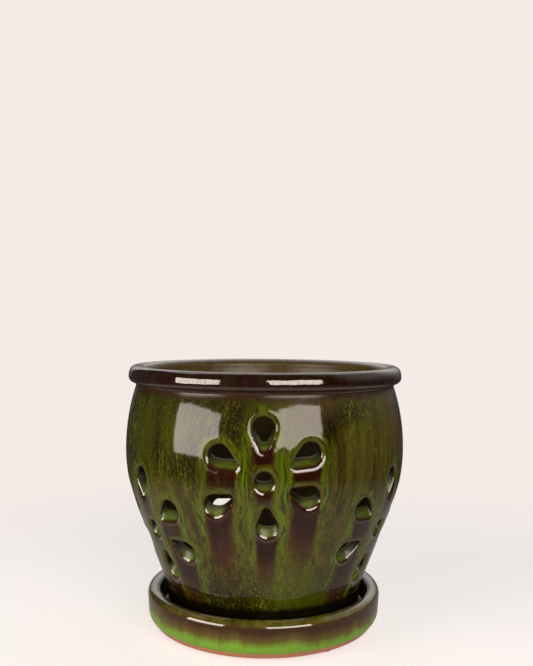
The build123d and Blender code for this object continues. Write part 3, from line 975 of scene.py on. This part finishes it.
def add_underside(skin, sizes, border_numbers, border):
    """The flat clay underside, filled between the base's edge and the rings that the clay feet stand in."""
    ways = np.arange(sizes.foot_columns) * 2 * pi / sizes.foot_columns
    circle = sizes.foot_radius * np.stack([np.cos(ways), np.sin(ways)], axis=1)
    places = foot_places(sizes)
    rims = [np.array(place) + circle for place in places]
    base = sizes.outer_radius - sizes.base_step
    step, edge_gap, foot_gap = 4 * MM, 3 * MM, 1.5 * MM
    reach = int(base / step)
    spread = np.arange(-reach, reach + 1) * step
    grid_x, grid_y = np.meshgrid(spread, spread)
    keep = np.hypot(grid_x, grid_y) < base - edge_gap
    for x, y in places:
        keep &= np.hypot(grid_x - x, grid_y - y) > sizes.foot_radius + foot_gap
    flat = np.concatenate([border, *rims, np.stack([grid_x[keep], grid_y[keep]], axis=1)])
    starts = np.cumsum([0, len(border)] + [len(rim) for rim in rims])
    loops = [np.arange(start, end) for start, end in zip(starts[:-1], starts[1:])]
    lines = np.concatenate([np.stack([loop, np.roll(loop, -1)], axis=1) for loop in loops])
    triangles = filled_flat(flat, lines, loops[1:])
    spots = np.column_stack([flat, np.full(len(flat), sizes.underside)])[len(border):]
    lookup = np.concatenate([border_numbers, skin.add(spots, bare=1.0)])
    skin.faces.append(lookup[triangles][:, ::-1])
    for place, loop in zip(places, loops[1:]):
        add_clay_foot(skin, sizes, place, lookup[loop], ways)


def add_clay_foot(skin, sizes, place, rim, ways):
    """A low clay foot: a short stub with a soft edge, turned about its own axis, that hangs from its rim."""
    radius, low = sizes.foot_radius, PAD_HIGH.z
    side = rounded_corner((radius, sizes.underside), (radius, low), (0, low), sizes.foot_edge, 4)
    side = np.concatenate([side, straight(side[-1], (0, low), 3)])
    across = place[0] + side[:, 0, None] * np.cos(ways)
    along = place[1] + side[:, 0, None] * np.sin(ways)
    stack = skin.add(np.stack([across, along, side[:, 1, None] + 0 * ways], axis=-1), bare=1.0)
    skin.rings([ring[::-1] for ring in (rim, *stack)])
    centre = skin.add(np.array([[*place, low]]), bare=1.0)[0]
    skin.fan(stack[-1][::-1], centre)


def foot_places(sizes):
    """The middle of each clay foot, evenly round its circle."""
    ways = sizes.first_foot + np.arange(sizes.foot_count) * 2 * pi / sizes.foot_count
    return [(sizes.foot_circle * sin(w), -sizes.foot_circle * cos(w)) for w in ways]


def pad_skin(x, y, sizes):
    """A rubber pad: a low turned disc with soft edges, about its own axis."""
    skin = Skin([])
    top, low, radius, soft = PAD_HIGH.z, PAD_LOW.z, sizes.pad_radius, sizes.pad_edge
    lower = rounded_corner((0, low), (radius, low), (radius, top), soft, 4)
    upper = rounded_corner((radius, low), (radius, top), (0, top), soft, 4)
    half = 0.5 * radius
    profile = np.concatenate([[[half, low]], joined(lower, (3, upper)), [[half, top]]])
    ways = np.arange(sizes.pad_columns) * 2 * pi / sizes.pad_columns
    numbers = skin.add(lathe(profile, ways) + np.array([x, y, 0]))
    skin.rings(numbers)
    skin.fan(numbers[0][::-1], skin.add(np.array([[x, y, low]]))[0])
    skin.fan(numbers[-1], skin.add(np.array([[x, y, top]]))[0])
    return skin


class Recipe:
    """Lays out the nodes of one material in short lines."""

    def __init__(self, name):
        self.material = bpy.data.materials.new(name)
        self.material.use_nodes = True
        self.tree = self.material.node_tree
        self.shader = self.tree.nodes["Principled BSDF"]

    def shown(self, shader):
        """The material, with another shader in place of its first one."""
        self.tree.nodes.remove(self.shader)
        self.tree.links.new(shader.outputs[0], self.tree.nodes["Material Output"].inputs["Surface"])
        return self.material

    def put(self, socket, value):
        """Links a socket, or sets it to a plain value."""
        if isinstance(value, bpy.types.NodeSocket):
            self.tree.links.new(value, socket)
        elif socket.type == "RGBA" and len(value) == 3:
            socket.default_value = (*value, 1)
        else:
            socket.default_value = value

    def node(self, kind, inputs=(), **settings):
        """Adds a node with its settings and its inputs."""
        made = self.tree.nodes.new(kind)
        for key, value in settings.items():
            setattr(made, key, value)
        for key, value in dict(inputs).items():
            self.put(made.inputs[key], value)
        return made

    def place(self):
        """Place on the object, in metres."""
        return self.node("ShaderNodeTexCoord").outputs["Object"]

    def field(self, name):
        """A painted field of the mesh as a number."""
        return self.node("ShaderNodeAttribute", attribute_name=name).outputs["Fac"]

    def vector_field(self, name):
        """A painted field of the mesh as a place."""
        return self.node("ShaderNodeAttribute", attribute_name=name).outputs["Vector"]

    def stretch(self, vector, x, y, z):
        """A place stretched by three numbers."""
        return self.node("ShaderNodeMapping", {"Vector": vector, "Scale": (x, y, z)}).outputs["Vector"]

    def noise(self, vector, size, detail=3.0, roughness=0.55, bend=0.0):
        """Cloudy noise from 0 to 1, with features about as large as the size."""
        inputs = {"Vector": vector, "Scale": 1 / size, "Detail": detail}
        inputs |= {"Roughness": roughness, "Distortion": bend}
        return self.node("ShaderNodeTexNoise", inputs).outputs["Fac"]

    def drawn(self, vector, size, long, detail=3.0, roughness=0.55, bend=0.0):
        """The same noise drawn out upright, so that its features are long times as tall as wide."""
        return self.noise(self.stretch(vector, 1, 1, 1 / long), size, detail, roughness, bend)

    def math(self, operation, first, second=0.0, third=0.0):
        """Arithmetic on numbers."""
        made = self.node("ShaderNodeMath", operation=operation)
        for socket, value in zip(made.inputs, (first, second, third)):
            self.put(socket, value)
        return made.outputs[0]

    def ease(self, value, low, high, to_low=0.0, to_high=1.0):
        """A number eased from one span to another."""
        inputs = {"Value": value, "From Min": low, "From Max": high, "To Min": to_low, "To Max": to_high}
        return self.node("ShaderNodeMapRange", inputs, interpolation_type="SMOOTHSTEP").outputs["Result"]

    def blend(self, share, first, second):
        """Two colours mixed by a share."""
        made = self.node("ShaderNodeMix", data_type="RGBA")
        self.put(made.inputs["Factor"], share)
        self.put(made.inputs[FIRST_COLOUR], first)
        self.put(made.inputs[SECOND_COLOUR], second)
        return made.outputs[MIXED_COLOUR]

    def ramp(self, value, *stops):
        """A colour ramp given as pairs of place and colour."""
        made = self.node("ShaderNodeValToRGB", {"Fac": value})
        ramp = made.color_ramp
        while len(ramp.elements) < len(stops):
            ramp.elements.new(0.5)
        for element, (spot, colour) in zip(ramp.elements, stops):
            element.position = spot
            element.color = (*colour, 1)
        return made.outputs["Color"]

    def both(self, first, second):
        """Two shares multiplied."""
        return self.math("MULTIPLY", first, second)

    def strayed(self, value, noise, reach):
        """A number moved up and down by a noise."""
        return self.math("MULTIPLY_ADD", self.math("SUBTRACT", noise, 0.5), reach, value)

    def distance(self, vector):
        """How far a place is from the origin."""
        return self.node("ShaderNodeVectorMath", {0: vector}, operation="LENGTH").outputs["Value"]

    def part(self, vector, axis):
        """One number out of a place."""
        return self.node("ShaderNodeSeparateXYZ", {"Vector": vector}).outputs[axis]

    def bump(self, height, distance):
        """A surface tilted by a height."""
        inputs = {"Height": height, "Distance": distance, "Strength": 1.0}
        return self.node("ShaderNodeBump", inputs).outputs["Normal"]


class PotPattern:
    """The places, painted fields and noises that the pot's glaze is mixed from."""

    def __init__(self, mix, marks):
        home = mix.vector_field("flow_place")
        self.place = mix.place()
        self.height = mix.part(self.place, "Z")
        self.halo, self.run, self.drip = mix.field("halo"), mix.field("run"), mix.field("drip")
        self.age, self.edge, self.tunnel = mix.field("drip_age"), mix.field("edge"), mix.field("tunnel")
        self.low_side, self.inside, self.bare = mix.field("low_side"), mix.field("inside"), mix.field("bare")
        # Each noise has its place, its width, how many times as tall it is, its detail, roughness and bend
        self.streaks = mix.drawn(home, marks.streak, 6.25, 3, 0.62)
        self.flecks = mix.drawn(home, marks.fleck, 2.5, 2, 0.6)
        self.clouds = mix.drawn(home, marks.cloud, 2.86)
        self.ribbons = mix.drawn(home, marks.ribbon, 14.3, 3, 0.6, 0.4)
        self.lines = mix.drawn(home, marks.line, 20, 2, 0.5, 0.3)
        self.tinges = mix.drawn(home, marks.tinge, 4, 2, 0.5)
        self.patches = mix.drawn(self.place, marks.patch, 3.3, 2, 0.5)
        fine = mix.math("MULTIPLY_ADD", self.streaks, 0.4, mix.both(self.flecks, 0.6))
        cloudy = mix.strayed(fine, self.clouds, 0.30)
        self.tone = mix.strayed(cloudy, self.ribbons, 0.22)
        band = mix.strayed(self.drip, mix.drawn(self.place, marks.drip_bend, 1.4, 1), 1.6 * marks.drip_waver)
        band = mix.strayed(band, self.ribbons, 0.8 * marks.drip_waver)
        self.band = mix.strayed(band, self.streaks, 0.8 * marks.drip_waver)


def mottled_body(mix, pattern, pot, marks, colours):
    """Olive glaze in flecks and streaks, browner up on the right and straw coloured below the belly."""
    stops = (0.42, colours.deep), (0.52, colours.olive), (0.6, colours.moss), (0.69, colours.fleck)
    body = mix.ramp(pattern.tone, *stops)
    body = mix.blend(mix.ease(pattern.tinges, 0.44, 0.66, 0.0, 0.42), body, colours.halo)
    shoulder = pot.belly_height + 0.9 * (pot.neck_height - pot.belly_height)
    high_up = mix.ease(pattern.height, pot.belly_height - marks.umber_drop, shoulder)
    across = mix.part(pattern.place, "X")
    to_right = mix.ease(across, -0.15 * pot.belly_radius, 0.5 * pot.belly_radius, 0.15, 1.3)
    brown = mix.both(mix.both(high_up, to_right), mix.ease(pattern.patches, 0.32, 0.56))
    brown = mix.both(brown, mix.ease(pattern.tone, 0.6, 0.44, 0.1, 1.0))
    body = mix.blend(brown, body, colours.umber)
    above_foot = mix.ease(pattern.height, pot.band_top + marks.foot_shade_rise, pot.band_top + marks.light_rise)
    on_right = mix.ease(across, 0.2 * pot.belly_radius, 0.55 * pot.belly_radius)
    lowered = mix.math("MULTIPLY_ADD", on_right, -marks.light_lift, pattern.height)
    under_belly = mix.ease(lowered, pot.belly_height, pot.belly_height - marks.light_drop)
    thin = mix.both(mix.both(above_foot, under_belly), mix.ease(pattern.ribbons, 0.36, 0.64, 0.18, 0.44))
    return mix.blend(thin, body, colours.straw)


def ran_past_slots(mix, pattern, body, colours):
    """Thick bright glaze above and beside the slots, drawn into fine dark and bright lines."""
    halo_share = mix.ease(mix.strayed(pattern.halo, pattern.ribbons, 0.7), 0.05, 0.65, 0.0, 0.92)
    halo_colour = mix.blend(mix.ease(pattern.tone, 0.36, 0.52), colours.olive, colours.halo)
    body = mix.blend(halo_share, body, halo_colour)
    flowing = mix.math("MAXIMUM", mix.both(pattern.run, pattern.run), mix.both(pattern.halo, 0.7))
    dark_lines = mix.both(mix.ease(pattern.lines, 0.49, 0.40), mix.ease(flowing, 0.2, 0.75, 0.0, 0.7))
    body = mix.blend(dark_lines, body, colours.deep)
    bright_lines = mix.both(mix.ease(pattern.lines, 0.48, 0.58), mix.ease(pattern.run, 0.2, 0.9, 0.0, 0.85))
    return mix.blend(bright_lines, body, colours.run)


def brown_bands(mix, pattern, body, marks, colours):
    """Brown bands of thin glaze that hang under the slots, redder at their sides and fading downwards."""
    strayed_age = mix.strayed(pattern.age, pattern.clouds, marks.drip_end)
    fading = mix.ease(strayed_age, marks.drip_end, marks.drip_full)
    mottled = mix.both(pattern.tone, mix.ease(pattern.age, 0.0, marks.drip_end))
    fading = mix.both(fading, mix.ease(mottled, 0.55, 0.16))
    softness = mix.math("MULTIPLY_ADD", pattern.age, marks.drip_softening, 0.25 * marks.drip_waver)
    inward = mix.math("DIVIDE", pattern.band, softness)
    share = mix.both(mix.ease(inward, -1.2, 1.0), fading)
    older = mix.ease(pattern.age, 0.1 * marks.drip_end, 0.4 * marks.drip_end)
    colour = mix.blend(older, colours.drip, colours.faded)
    plum = mix.ease(pattern.age, 0.15 * marks.drip_end, 0.35 * marks.drip_end, 0.0, 0.35)
    colour = mix.blend(mix.both(mix.ease(pattern.clouds, 0.46, 0.6), plum), colour, colours.plum)
    fresh = mix.ease(pattern.age, 0.14 * marks.drip_end, 0.0, 0.0, 0.5)
    redder = mix.math("MAXIMUM", fresh, mix.ease(pattern.band, marks.drip_side, 0.0, 0.0, 0.75))
    colour = mix.blend(redder, colour, colours.blush)
    colour = mix.blend(mix.ease(pattern.tone, 0.52, 0.68, 0.0, 0.12), colour, colours.moss)
    colour = mix.blend(mix.ease(pattern.tone, 0.5, 0.35, 0.0, 0.6), colour, colours.deep)
    body = mix.blend(share, body, colour)
    outside_band = mix.ease(pattern.band, 0.5 * marks.drip_waver, -0.2 * marks.drip_waver, 0.0, 0.75)
    ring = mix.both(mix.ease(pattern.edge, marks.ring_outer, marks.ring_inner), outside_band)
    return mix.blend(ring, body, colours.ring)


def foot_and_rim(mix, pattern, body, pot, marks, colours):
    """Painted shade, nearly black, on the foot band where the saucer shades it, a brown neck and a dark
    brown rim.
    """
    # Painted shade: the foot band turns near black where the saucer shades it.
    foot_shaded = mix.ease(pattern.height, pot.band_top + marks.foot_shade_rise, pot.band_top, 0.0, 0.95)
    body = mix.blend(foot_shaded, body, colours.foot_shade)
    neck_edge = mix.strayed(pattern.height, pattern.ribbons, 1.5 * marks.neck_fade)
    at_neck = mix.ease(neck_edge, pot.neck_height - marks.neck_fade, pot.neck_height)
    body = mix.blend(at_neck, body, colours.neck)
    rim = mix.blend(mix.ease(pattern.streaks, 0.45, 0.75, 0.0, 0.5), colours.rim, colours.neck)
    rim = mix.blend(mix.ease(pattern.ribbons, 0.52, 0.66, 0.0, 0.5), rim, colours.olive)
    rim_edge = mix.strayed(pattern.height, pattern.ribbons, marks.rim_fade)
    return mix.blend(mix.ease(rim_edge, pot.neck_height, pot.neck_height + marks.rim_fade), body, rim)


def inside_slots(mix, pattern, body, marks, colours):
    """Glaze pooled on the slots' lower sides and brightened there as painted light, painted shade on their
    upper sides, a brown inner wall lightened in part as painted light, and bare clay below.
    """
    # Painted light and shade: a slot's lower side, facing up, gets the brighter pooled green, and its upper
    # side gets the dark painted shade.
    pool = mix.blend(mix.ease(pattern.tone, 0.4, 0.6), colours.halo, colours.pool)
    slot = mix.blend(mix.ease(pattern.low_side, -0.1, 0.85), colours.shade, pool)
    body = mix.blend(pattern.tunnel, body, slot)
    # Partly painted light: the inner wall's tint is made lighter, standing in for the light that hardly
    # reaches it.
    inner = mix.blend(mix.ease(pattern.tone, 0.36, 0.62), colours.umber, colours.inside)
    body = mix.blend(pattern.inside, body, inner)
    return mix.blend(pattern.bare, body, clay_colour(mix, pattern.place, marks, colours))


def glassy(mix, coat, relief, depth, bare, roughness):
    """The shine of a glaze with swells in it, bare clay left dull, and a glassier coat where it is thick."""
    shader = mix.shader.inputs
    mix.put(shader["Roughness"], mix.math("MULTIPLY_ADD", bare, 0.6, roughness))
    surface = mix.bump(relief, depth)
    mix.put(shader["Normal"], surface)
    mix.put(shader["Coat Normal"], surface)
    mix.put(shader["Coat Weight"], coat)
    shader["IOR"].default_value = 1.52
    shader["Coat IOR"].default_value = 1.9
    shader["Coat Roughness"].default_value = 0.04


def glaze_swells(mix, pattern, marks, on_rim):
    """Slow swells of the shiny surface, raised round the slots and stronger on the rim."""
    swells = mix.drawn(pattern.place, marks.ripple, 1.43, 1, 0.5)
    relief = mix.math("MULTIPLY_ADD", pattern.streaks, 0.02, swells)
    relief = mix.math("MULTIPLY_ADD", pattern.halo, 0.6, relief)
    hand_worked = mix.noise(pattern.place, marks.rim_swell, 2, 0.5)
    return mix.math("MULTIPLY_ADD", mix.both(on_rim, hand_worked), 2.0, relief)


def glassy_places(mix, pattern, marks, on_rim):
    """Where thick glaze shines like glass: the slots' lower lips and the rim, and little of it inside."""
    near_slot = mix.ease(pattern.edge, marks.lip_outer, marks.lip_inner)
    low_lip = mix.both(near_slot, mix.ease(pattern.low_side, -0.2, 0.3))
    low_lip = mix.both(low_lip, mix.ease(pattern.tunnel, 1.0, 0.0, 0.15, 1.0))
    rim_shine = mix.both(on_rim, mix.ease(pattern.flecks, 0.38, 0.6, 0.55, 1.0))
    outside = mix.ease(pattern.inside, 0.6, 0.2, 0.0, 0.85)
    return mix.both(mix.math("MAXIMUM", low_lip, rim_shine), outside)


def dull_places(mix, pattern, pot, marks):
    """How much duller the glaze is in the slots, on the inside and in the groove."""
    below_roll = mix.ease(pattern.height, pot.neck_height + marks.rim_fade, pot.neck_height)
    above_wall = mix.ease(pattern.height, pot.neck_height - marks.neck_fade, pot.neck_height)
    in_groove = mix.both(mix.both(below_roll, above_wall), 0.15)
    duller = mix.math("MAXIMUM", mix.both(pattern.tunnel, 0.4), mix.both(pattern.inside, 0.26))
    return mix.math("MAXIMUM", duller, in_groove)


def pot_glaze(pot, marks, colours):
    """Mottled olive glaze that ran round the slots, with brown bands under them and a brown rim."""
    mix = Recipe("pot_glaze")
    pattern = PotPattern(mix, marks)
    body = mottled_body(mix, pattern, pot, marks, colours)
    body = ran_past_slots(mix, pattern, body, colours)
    body = brown_bands(mix, pattern, body, marks, colours)
    body = foot_and_rim(mix, pattern, body, pot, marks, colours)
    body = inside_slots(mix, pattern, body, marks, colours)
    mix.put(mix.shader.inputs["Base Color"], body)
    on_rim = mix.ease(pattern.height, pot.neck_height, pot.neck_height + marks.rim_fade)
    relief = glaze_swells(mix, pattern, marks, on_rim)
    shiny = glassy_places(mix, pattern, marks, on_rim)
    roughness = mix.math("ADD", dull_places(mix, pattern, pot, marks), 0.07)
    glassy(mix, shiny, relief, marks.relief, pattern.bare, roughness)
    return mix.material


def clay_colour(mix, place, marks, colours):
    """Bare clay with a fine grain."""
    grain = mix.noise(place, marks.clay_grain, 3, 0.6)
    lighter = tuple(min(1.0, part * 1.15) for part in colours.clay)
    darker = tuple(part * 0.72 for part in colours.clay)
    return mix.ramp(grain, (0.35, darker), (0.65, lighter))


def saucer_glaze(sizes, marks, colours):
    """Olive brown lip that runs down into bright green, with bare clay at the bottom edge."""
    mix = Recipe("saucer_glaze")
    place = mix.place()
    height = mix.part(place, "Z")
    bare = mix.field("bare")
    streaks = mix.drawn(place, marks.streak, 8.3, 3, 0.6)
    ribbons = mix.drawn(place, marks.ribbon, 16.7, 3, 0.6)
    clouds = mix.drawn(place, marks.tinge, 3.3, 2, 0.5)
    top = SAUCER_HIGH.z
    level = height
    for noise, reach in ((ribbons, 4.5 * MM), (streaks, 1.2 * MM), (clouds, 12 * MM)):
        level = mix.strayed(level, noise, reach)
    share = mix.ease(level, 0.18 * top, top)
    body = mix.ramp(share, (0.18, colours.grass), (0.46, colours.fall), (0.85, colours.lip))
    body = mix.blend(mix.ease(streaks, 0.55, 0.8, 0.0, 0.45), body, colours.lip)
    crest = top - marks.saucer_crest
    near_top = mix.ease(height, crest, top - 0.375 * marks.saucer_crest)
    mossy = mix.both(mix.ease(clouds, 0.38, 0.54, 0.5, 1.0), near_top)
    body = mix.blend(mossy, body, mix.blend(mix.ease(ribbons, 0.35, 0.6), colours.moss, colours.straw))
    dish = sizes.outer_radius - sizes.lip_thickness + 0.4 * marks.dish_blend
    radius = mix.distance(mix.stretch(place, 1, 1, 0))
    in_dish = mix.ease(radius, dish + marks.dish_blend, dish - marks.dish_blend)
    body = mix.blend(in_dish, body, mix.blend(mix.ease(ribbons, 0.4, 0.65), colours.olive, colours.fall))
    clay_edge = mix.ease(mix.strayed(bare, ribbons, 0.5), 0.35, 0.6)
    body = mix.blend(clay_edge, body, clay_colour(mix, place, marks, colours))
    mix.put(mix.shader.inputs["Base Color"], body)
    swells = mix.drawn(place, 0.7 * marks.ripple, 1.25, 1, 0.5)
    relief = mix.math("MULTIPLY_ADD", streaks, 0.06, swells)
    coat = mix.ease(height, crest, top - 0.5 * marks.saucer_crest, 0.0, 0.95)
    glassy(mix, coat, relief, 0.4 * marks.relief, clay_edge, 0.08)
    return mix.material


def pad_rubber(marks, colours):
    """Dull black rubber with a little dust."""
    mix = Recipe("pad_rubber")
    grain = mix.noise(mix.place(), marks.rubber_grain, 3, 0.6)
    lighter = tuple(min(1.0, part * 2.2) for part in colours.rubber)
    mix.put(mix.shader.inputs["Base Color"], mix.ramp(grain, (0.4, tuple(colours.rubber)), (0.75, lighter)))
    mix.put(mix.shader.inputs["Roughness"], mix.ease(grain, 0.3, 0.7, 0.6, 0.85))
    mix.put(mix.shader.inputs["Normal"], mix.bump(grain, 0.25 * marks.rubber_grain))
    return mix.material


def glow_material(name, colour, strength_of):
    """A surface that shines evenly, with a strength made from its recipe."""
    mix = Recipe(name)
    return mix.shown(mix.node("ShaderNodeEmission", {"Color": colour, "Strength": strength_of(mix)}))


def backdrop_strength(mix):
    """White for the camera, and for reflections dimmer beside the pot and near the floor."""
    back = mix.part(mix.place(), "Y")
    seen = mix.node("ShaderNodeLightPath").outputs["Is Camera Ray"]
    rising = mix.ease(mix.part(mix.place(), "Z"), 0.0, 1.2, 0.1, 1.0)
    beside = mix.ease(back, -1.6, 0.1, 0.0, 0.4)
    behind = mix.ease(back, 0.9, 2.2, 0.0, 0.6)
    return mix.math("MAXIMUM", seen, mix.both(mix.math("ADD", beside, behind), rising))


def ceiling_strength(mix):
    """Bright for reflections and dark for everything else."""
    return mix.both(mix.node("ShaderNodeLightPath").outputs["Is Glossy Ray"], 0.9)


def floor_material(studio):
    """Pale paper that takes the pot's shadow near it and fades into the backdrop further off."""
    mix = Recipe("floor_paper")
    path = mix.node("ShaderNodeLightPath")
    camera = path.outputs["Is Camera Ray"]
    mirrored = mix.math("MAXIMUM", path.outputs["Is Glossy Ray"], path.outputs["Is Transmission Ray"])
    distance = mix.distance(mix.place())
    far = mix.ease(distance, studio.near_floor, studio.far_floor)
    glow = mix.math("MULTIPLY_ADD", camera, studio.floor_glow, mix.both(mirrored, studio.floor_gleam))
    near_glow = mix.node("ShaderNodeEmission", {"Color": studio.floor_paper, "Strength": glow})
    matte = mix.node("ShaderNodeBsdfDiffuse", {"Color": studio.floor_paper})
    near = mix.node("ShaderNodeAddShader", {0: near_glow.outputs[0], 1: matte.outputs[0]})
    even_glow = mix.math("MULTIPLY_ADD", camera, 0.95, 0.05)
    even = mix.node("ShaderNodeEmission", {"Color": studio.paper, "Strength": even_glow})
    cut = mix.both(mirrored, mix.ease(distance, studio.mirror_full, studio.mirror_end, 0.2, 1.0))
    inputs = {"Fac": mix.math("MAXIMUM", far, cut), 1: near.outputs[0], 2: even.outputs[0]}
    return mix.shown(mix.node("ShaderNodeMixShader", inputs))


def settings():
    """The groups of sizes and colours kept on the scene."""
    scene = bpy.context.scene
    return [getattr(scene, name) for name in GROUPS]


class ORCHID_OT_pot(bpy.types.Operator):
    """Make the slotted pot with its running glaze"""

    bl_idname = "orchid.pot"
    bl_label = "Pot"

    def execute(self, context):
        pot, slots, _, marks, colours, _ = settings()
        piece = pot_skin(pot, slots, marks).build("glazed_pot", pot_glaze(pot, marks, colours))
        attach(piece, "pot")
        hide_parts("pot")
        return {"FINISHED"}


class ORCHID_OT_saucer(bpy.types.Operator):
    """Make the glazed saucer with its clay feet"""

    bl_idname = "orchid.saucer"
    bl_label = "Saucer"

    def execute(self, context):
        _, _, saucer, marks, colours, _ = settings()
        piece = saucer_skin(saucer).build("glazed_saucer", saucer_glaze(saucer, marks, colours))
        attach(piece, "saucer")
        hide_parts("saucer")
        return {"FINISHED"}


class ORCHID_OT_pads(bpy.types.Operator):
    """Make the rubber pads under the clay feet"""

    bl_idname = "orchid.pads"
    bl_label = "Pads"

    def execute(self, context):
        _, _, saucer, marks, colours, _ = settings()
        rubber = pad_rubber(marks, colours)
        for number, (x, y) in enumerate(foot_places(saucer), start=1):
            piece = pad_skin(x, y, saucer).build(f"rubber_pad_{number}", rubber)
            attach(piece, "saucer")
            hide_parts(f"foot_pad_{number}")
        return {"FINISHED"}


def add_stage(name, points, material):
    """A sheet of the stage, with its points in two rows of equal length."""
    steps = len(points) // 2
    faces = [(i, i + 1, i + 1 + steps, i + steps) for i in range(steps - 1)]
    mesh = bpy.data.meshes.new(name)
    mesh.from_pydata(points, [], faces)
    mesh.materials.append(material)
    piece = bpy.data.objects.new(name, mesh)
    bpy.context.scene.collection.objects.link(piece)


def add_lamp(name, azimuth, elevation, width, height, studio):
    """A soft oblong lamp that faces the pot, turned to the right of the front and raised above level."""
    level = cos(elevation)
    way = Vector((sin(azimuth) * level, -cos(azimuth) * level, sin(elevation)))
    data = bpy.data.lights.new(name, "AREA")
    data.shape = "RECTANGLE"
    data.size, data.size_y = width, height
    data.color = studio.lamp_tint
    data.energy = studio.lamp_level * pi * width * height
    lamp = bpy.data.objects.new(name, data)
    lamp.location = Vector((0, 0, studio.lamp_aim)) + way * studio.lamp_distance
    lamp.rotation_euler = way.to_track_quat("Z", "Y").to_euler()
    lamp.visible_camera = False
    bpy.context.scene.collection.objects.link(lamp)


class ORCHID_OT_studio(bpy.types.Operator):
    """Make the floor, backdrop, lamps and camera"""

    bl_idname = "orchid.studio"
    bl_label = "Studio"

    def execute(self, context):
        studio = context.scene.studio_settings
        half = studio.floor_half
        floor = [(x, y, 0) for y in (-half, half) for x in (-half, half)]
        add_stage("floor", floor, floor_material(studio))
        radius = studio.backdrop_radius
        ways = np.linspace(studio.backdrop_first, studio.backdrop_last, 33)
        rises = 0, studio.backdrop_height
        backdrop = [(radius * sin(way), -radius * cos(way), z) for z in rises for way in ways]
        add_stage("backdrop", backdrop, glow_material("backdrop_paper", studio.paper, backdrop_strength))
        over = studio.ceiling_half
        ends = studio.ceiling_near, studio.ceiling_far
        ceiling = [(x, y, studio.ceiling_height) for y in ends for x in (-over, over)]
        add_stage("ceiling", ceiling, glow_material("ceiling_paint", studio.paper, ceiling_strength))
        left = studio.left_azimuth, studio.left_elevation, studio.left_width, studio.left_height
        right = studio.right_azimuth, studio.right_elevation, studio.right_width, studio.right_height
        add_lamp("left_lamp", *left, studio)
        add_lamp("right_lamp", *right, studio)
        self.set_world(studio)
        self.set_camera(studio)
        context.scene.view_settings.view_transform = "Standard"
        return {"FINISHED"}

    def set_world(self, studio):
        """Dim air for the light and reflections, pale paper where the camera looks past the stage."""
        world = bpy.data.worlds.new("studio_air")
        world.use_nodes = True
        nodes, links = world.node_tree.nodes, world.node_tree.links
        path = nodes.new("ShaderNodeLightPath")
        pick = nodes.new("ShaderNodeMix")
        pick.data_type = "RGBA"
        pick.inputs[FIRST_COLOUR].default_value = (*studio.air, 1)
        pick.inputs[SECOND_COLOUR].default_value = (*studio.paper, 1)
        links.new(path.outputs["Is Camera Ray"], pick.inputs["Factor"])
        links.new(pick.outputs[MIXED_COLOUR], nodes["Background"].inputs["Color"])
        bpy.context.scene.world = world

    def set_camera(self, studio):
        """The photo's viewpoint: level with the rim, a little tipped and leant."""
        data = bpy.data.cameras.new("camera")
        data.lens = studio.camera_lens
        data.sensor_width = 36
        data.shift_x = studio.camera_shift
        data.clip_start = 0.01
        camera = bpy.data.objects.new("camera", data)
        camera.location = (0, -studio.camera_distance, studio.camera_height)
        tip = Matrix.Rotation(pi / 2 - studio.camera_pitch, 4, "X")
        lean = Matrix.Rotation(studio.camera_roll, 4, "Z")
        camera.rotation_euler = (tip @ lean).to_euler()
        bpy.context.scene.collection.objects.link(camera)
        bpy.context.scene.camera = camera


class ORCHID_PT_panel(bpy.types.Panel):
    """Lists the pieces of the orchid pot"""

    bl_label = "Orchid Pot"
    bl_idname = "ORCHID_PT_panel"
    bl_space_type = "VIEW_3D"
    bl_region_type = "UI"
    bl_category = "Orchid Pot"

    def draw(self, context):
        for operator in ("orchid.pot", "orchid.saucer", "orchid.pads", "orchid.studio"):
            self.layout.operator(operator)
        for group in settings():
            box = self.layout.box()
            for name in group.bl_rna.properties.keys():
                if name not in ("rna_type", "name"):
                    box.prop(group, name)


GROUPS = {
    "pot_sizes": PotSizes,
    "slot_sizes": SlotSizes,
    "saucer_sizes": SaucerSizes,
    "glaze_sizes": GlazeSizes,
    "glaze_colours": GlazeColours,
    "studio_settings": StudioSettings,
}
CLASSES = (
    *GROUPS.values(),
    ORCHID_OT_pot,
    ORCHID_OT_saucer,
    ORCHID_OT_pads,
    ORCHID_OT_studio,
    ORCHID_PT_panel,
)


def register():
    """Registers the classes and puts the groups of settings on the scene."""
    for kind in CLASSES:
        bpy.utils.register_class(kind)
    for name, group in GROUPS.items():
        setattr(bpy.types.Scene, name, bpy.props.PointerProperty(type=group))


def unregister():
    """Takes the groups and classes away again, in the other order."""
    for name in GROUPS:
        delattr(bpy.types.Scene, name)
    for kind in reversed(CLASSES):
        bpy.utils.unregister_class(kind)


def main():
    """Makes every piece and the studio."""
    register()
    bpy.ops.orchid.pot()
    bpy.ops.orchid.saucer()
    bpy.ops.orchid.pads()
    bpy.ops.orchid.studio()
    bpy.context.view_layer.update()


if __name__ == "__main__":
    main()
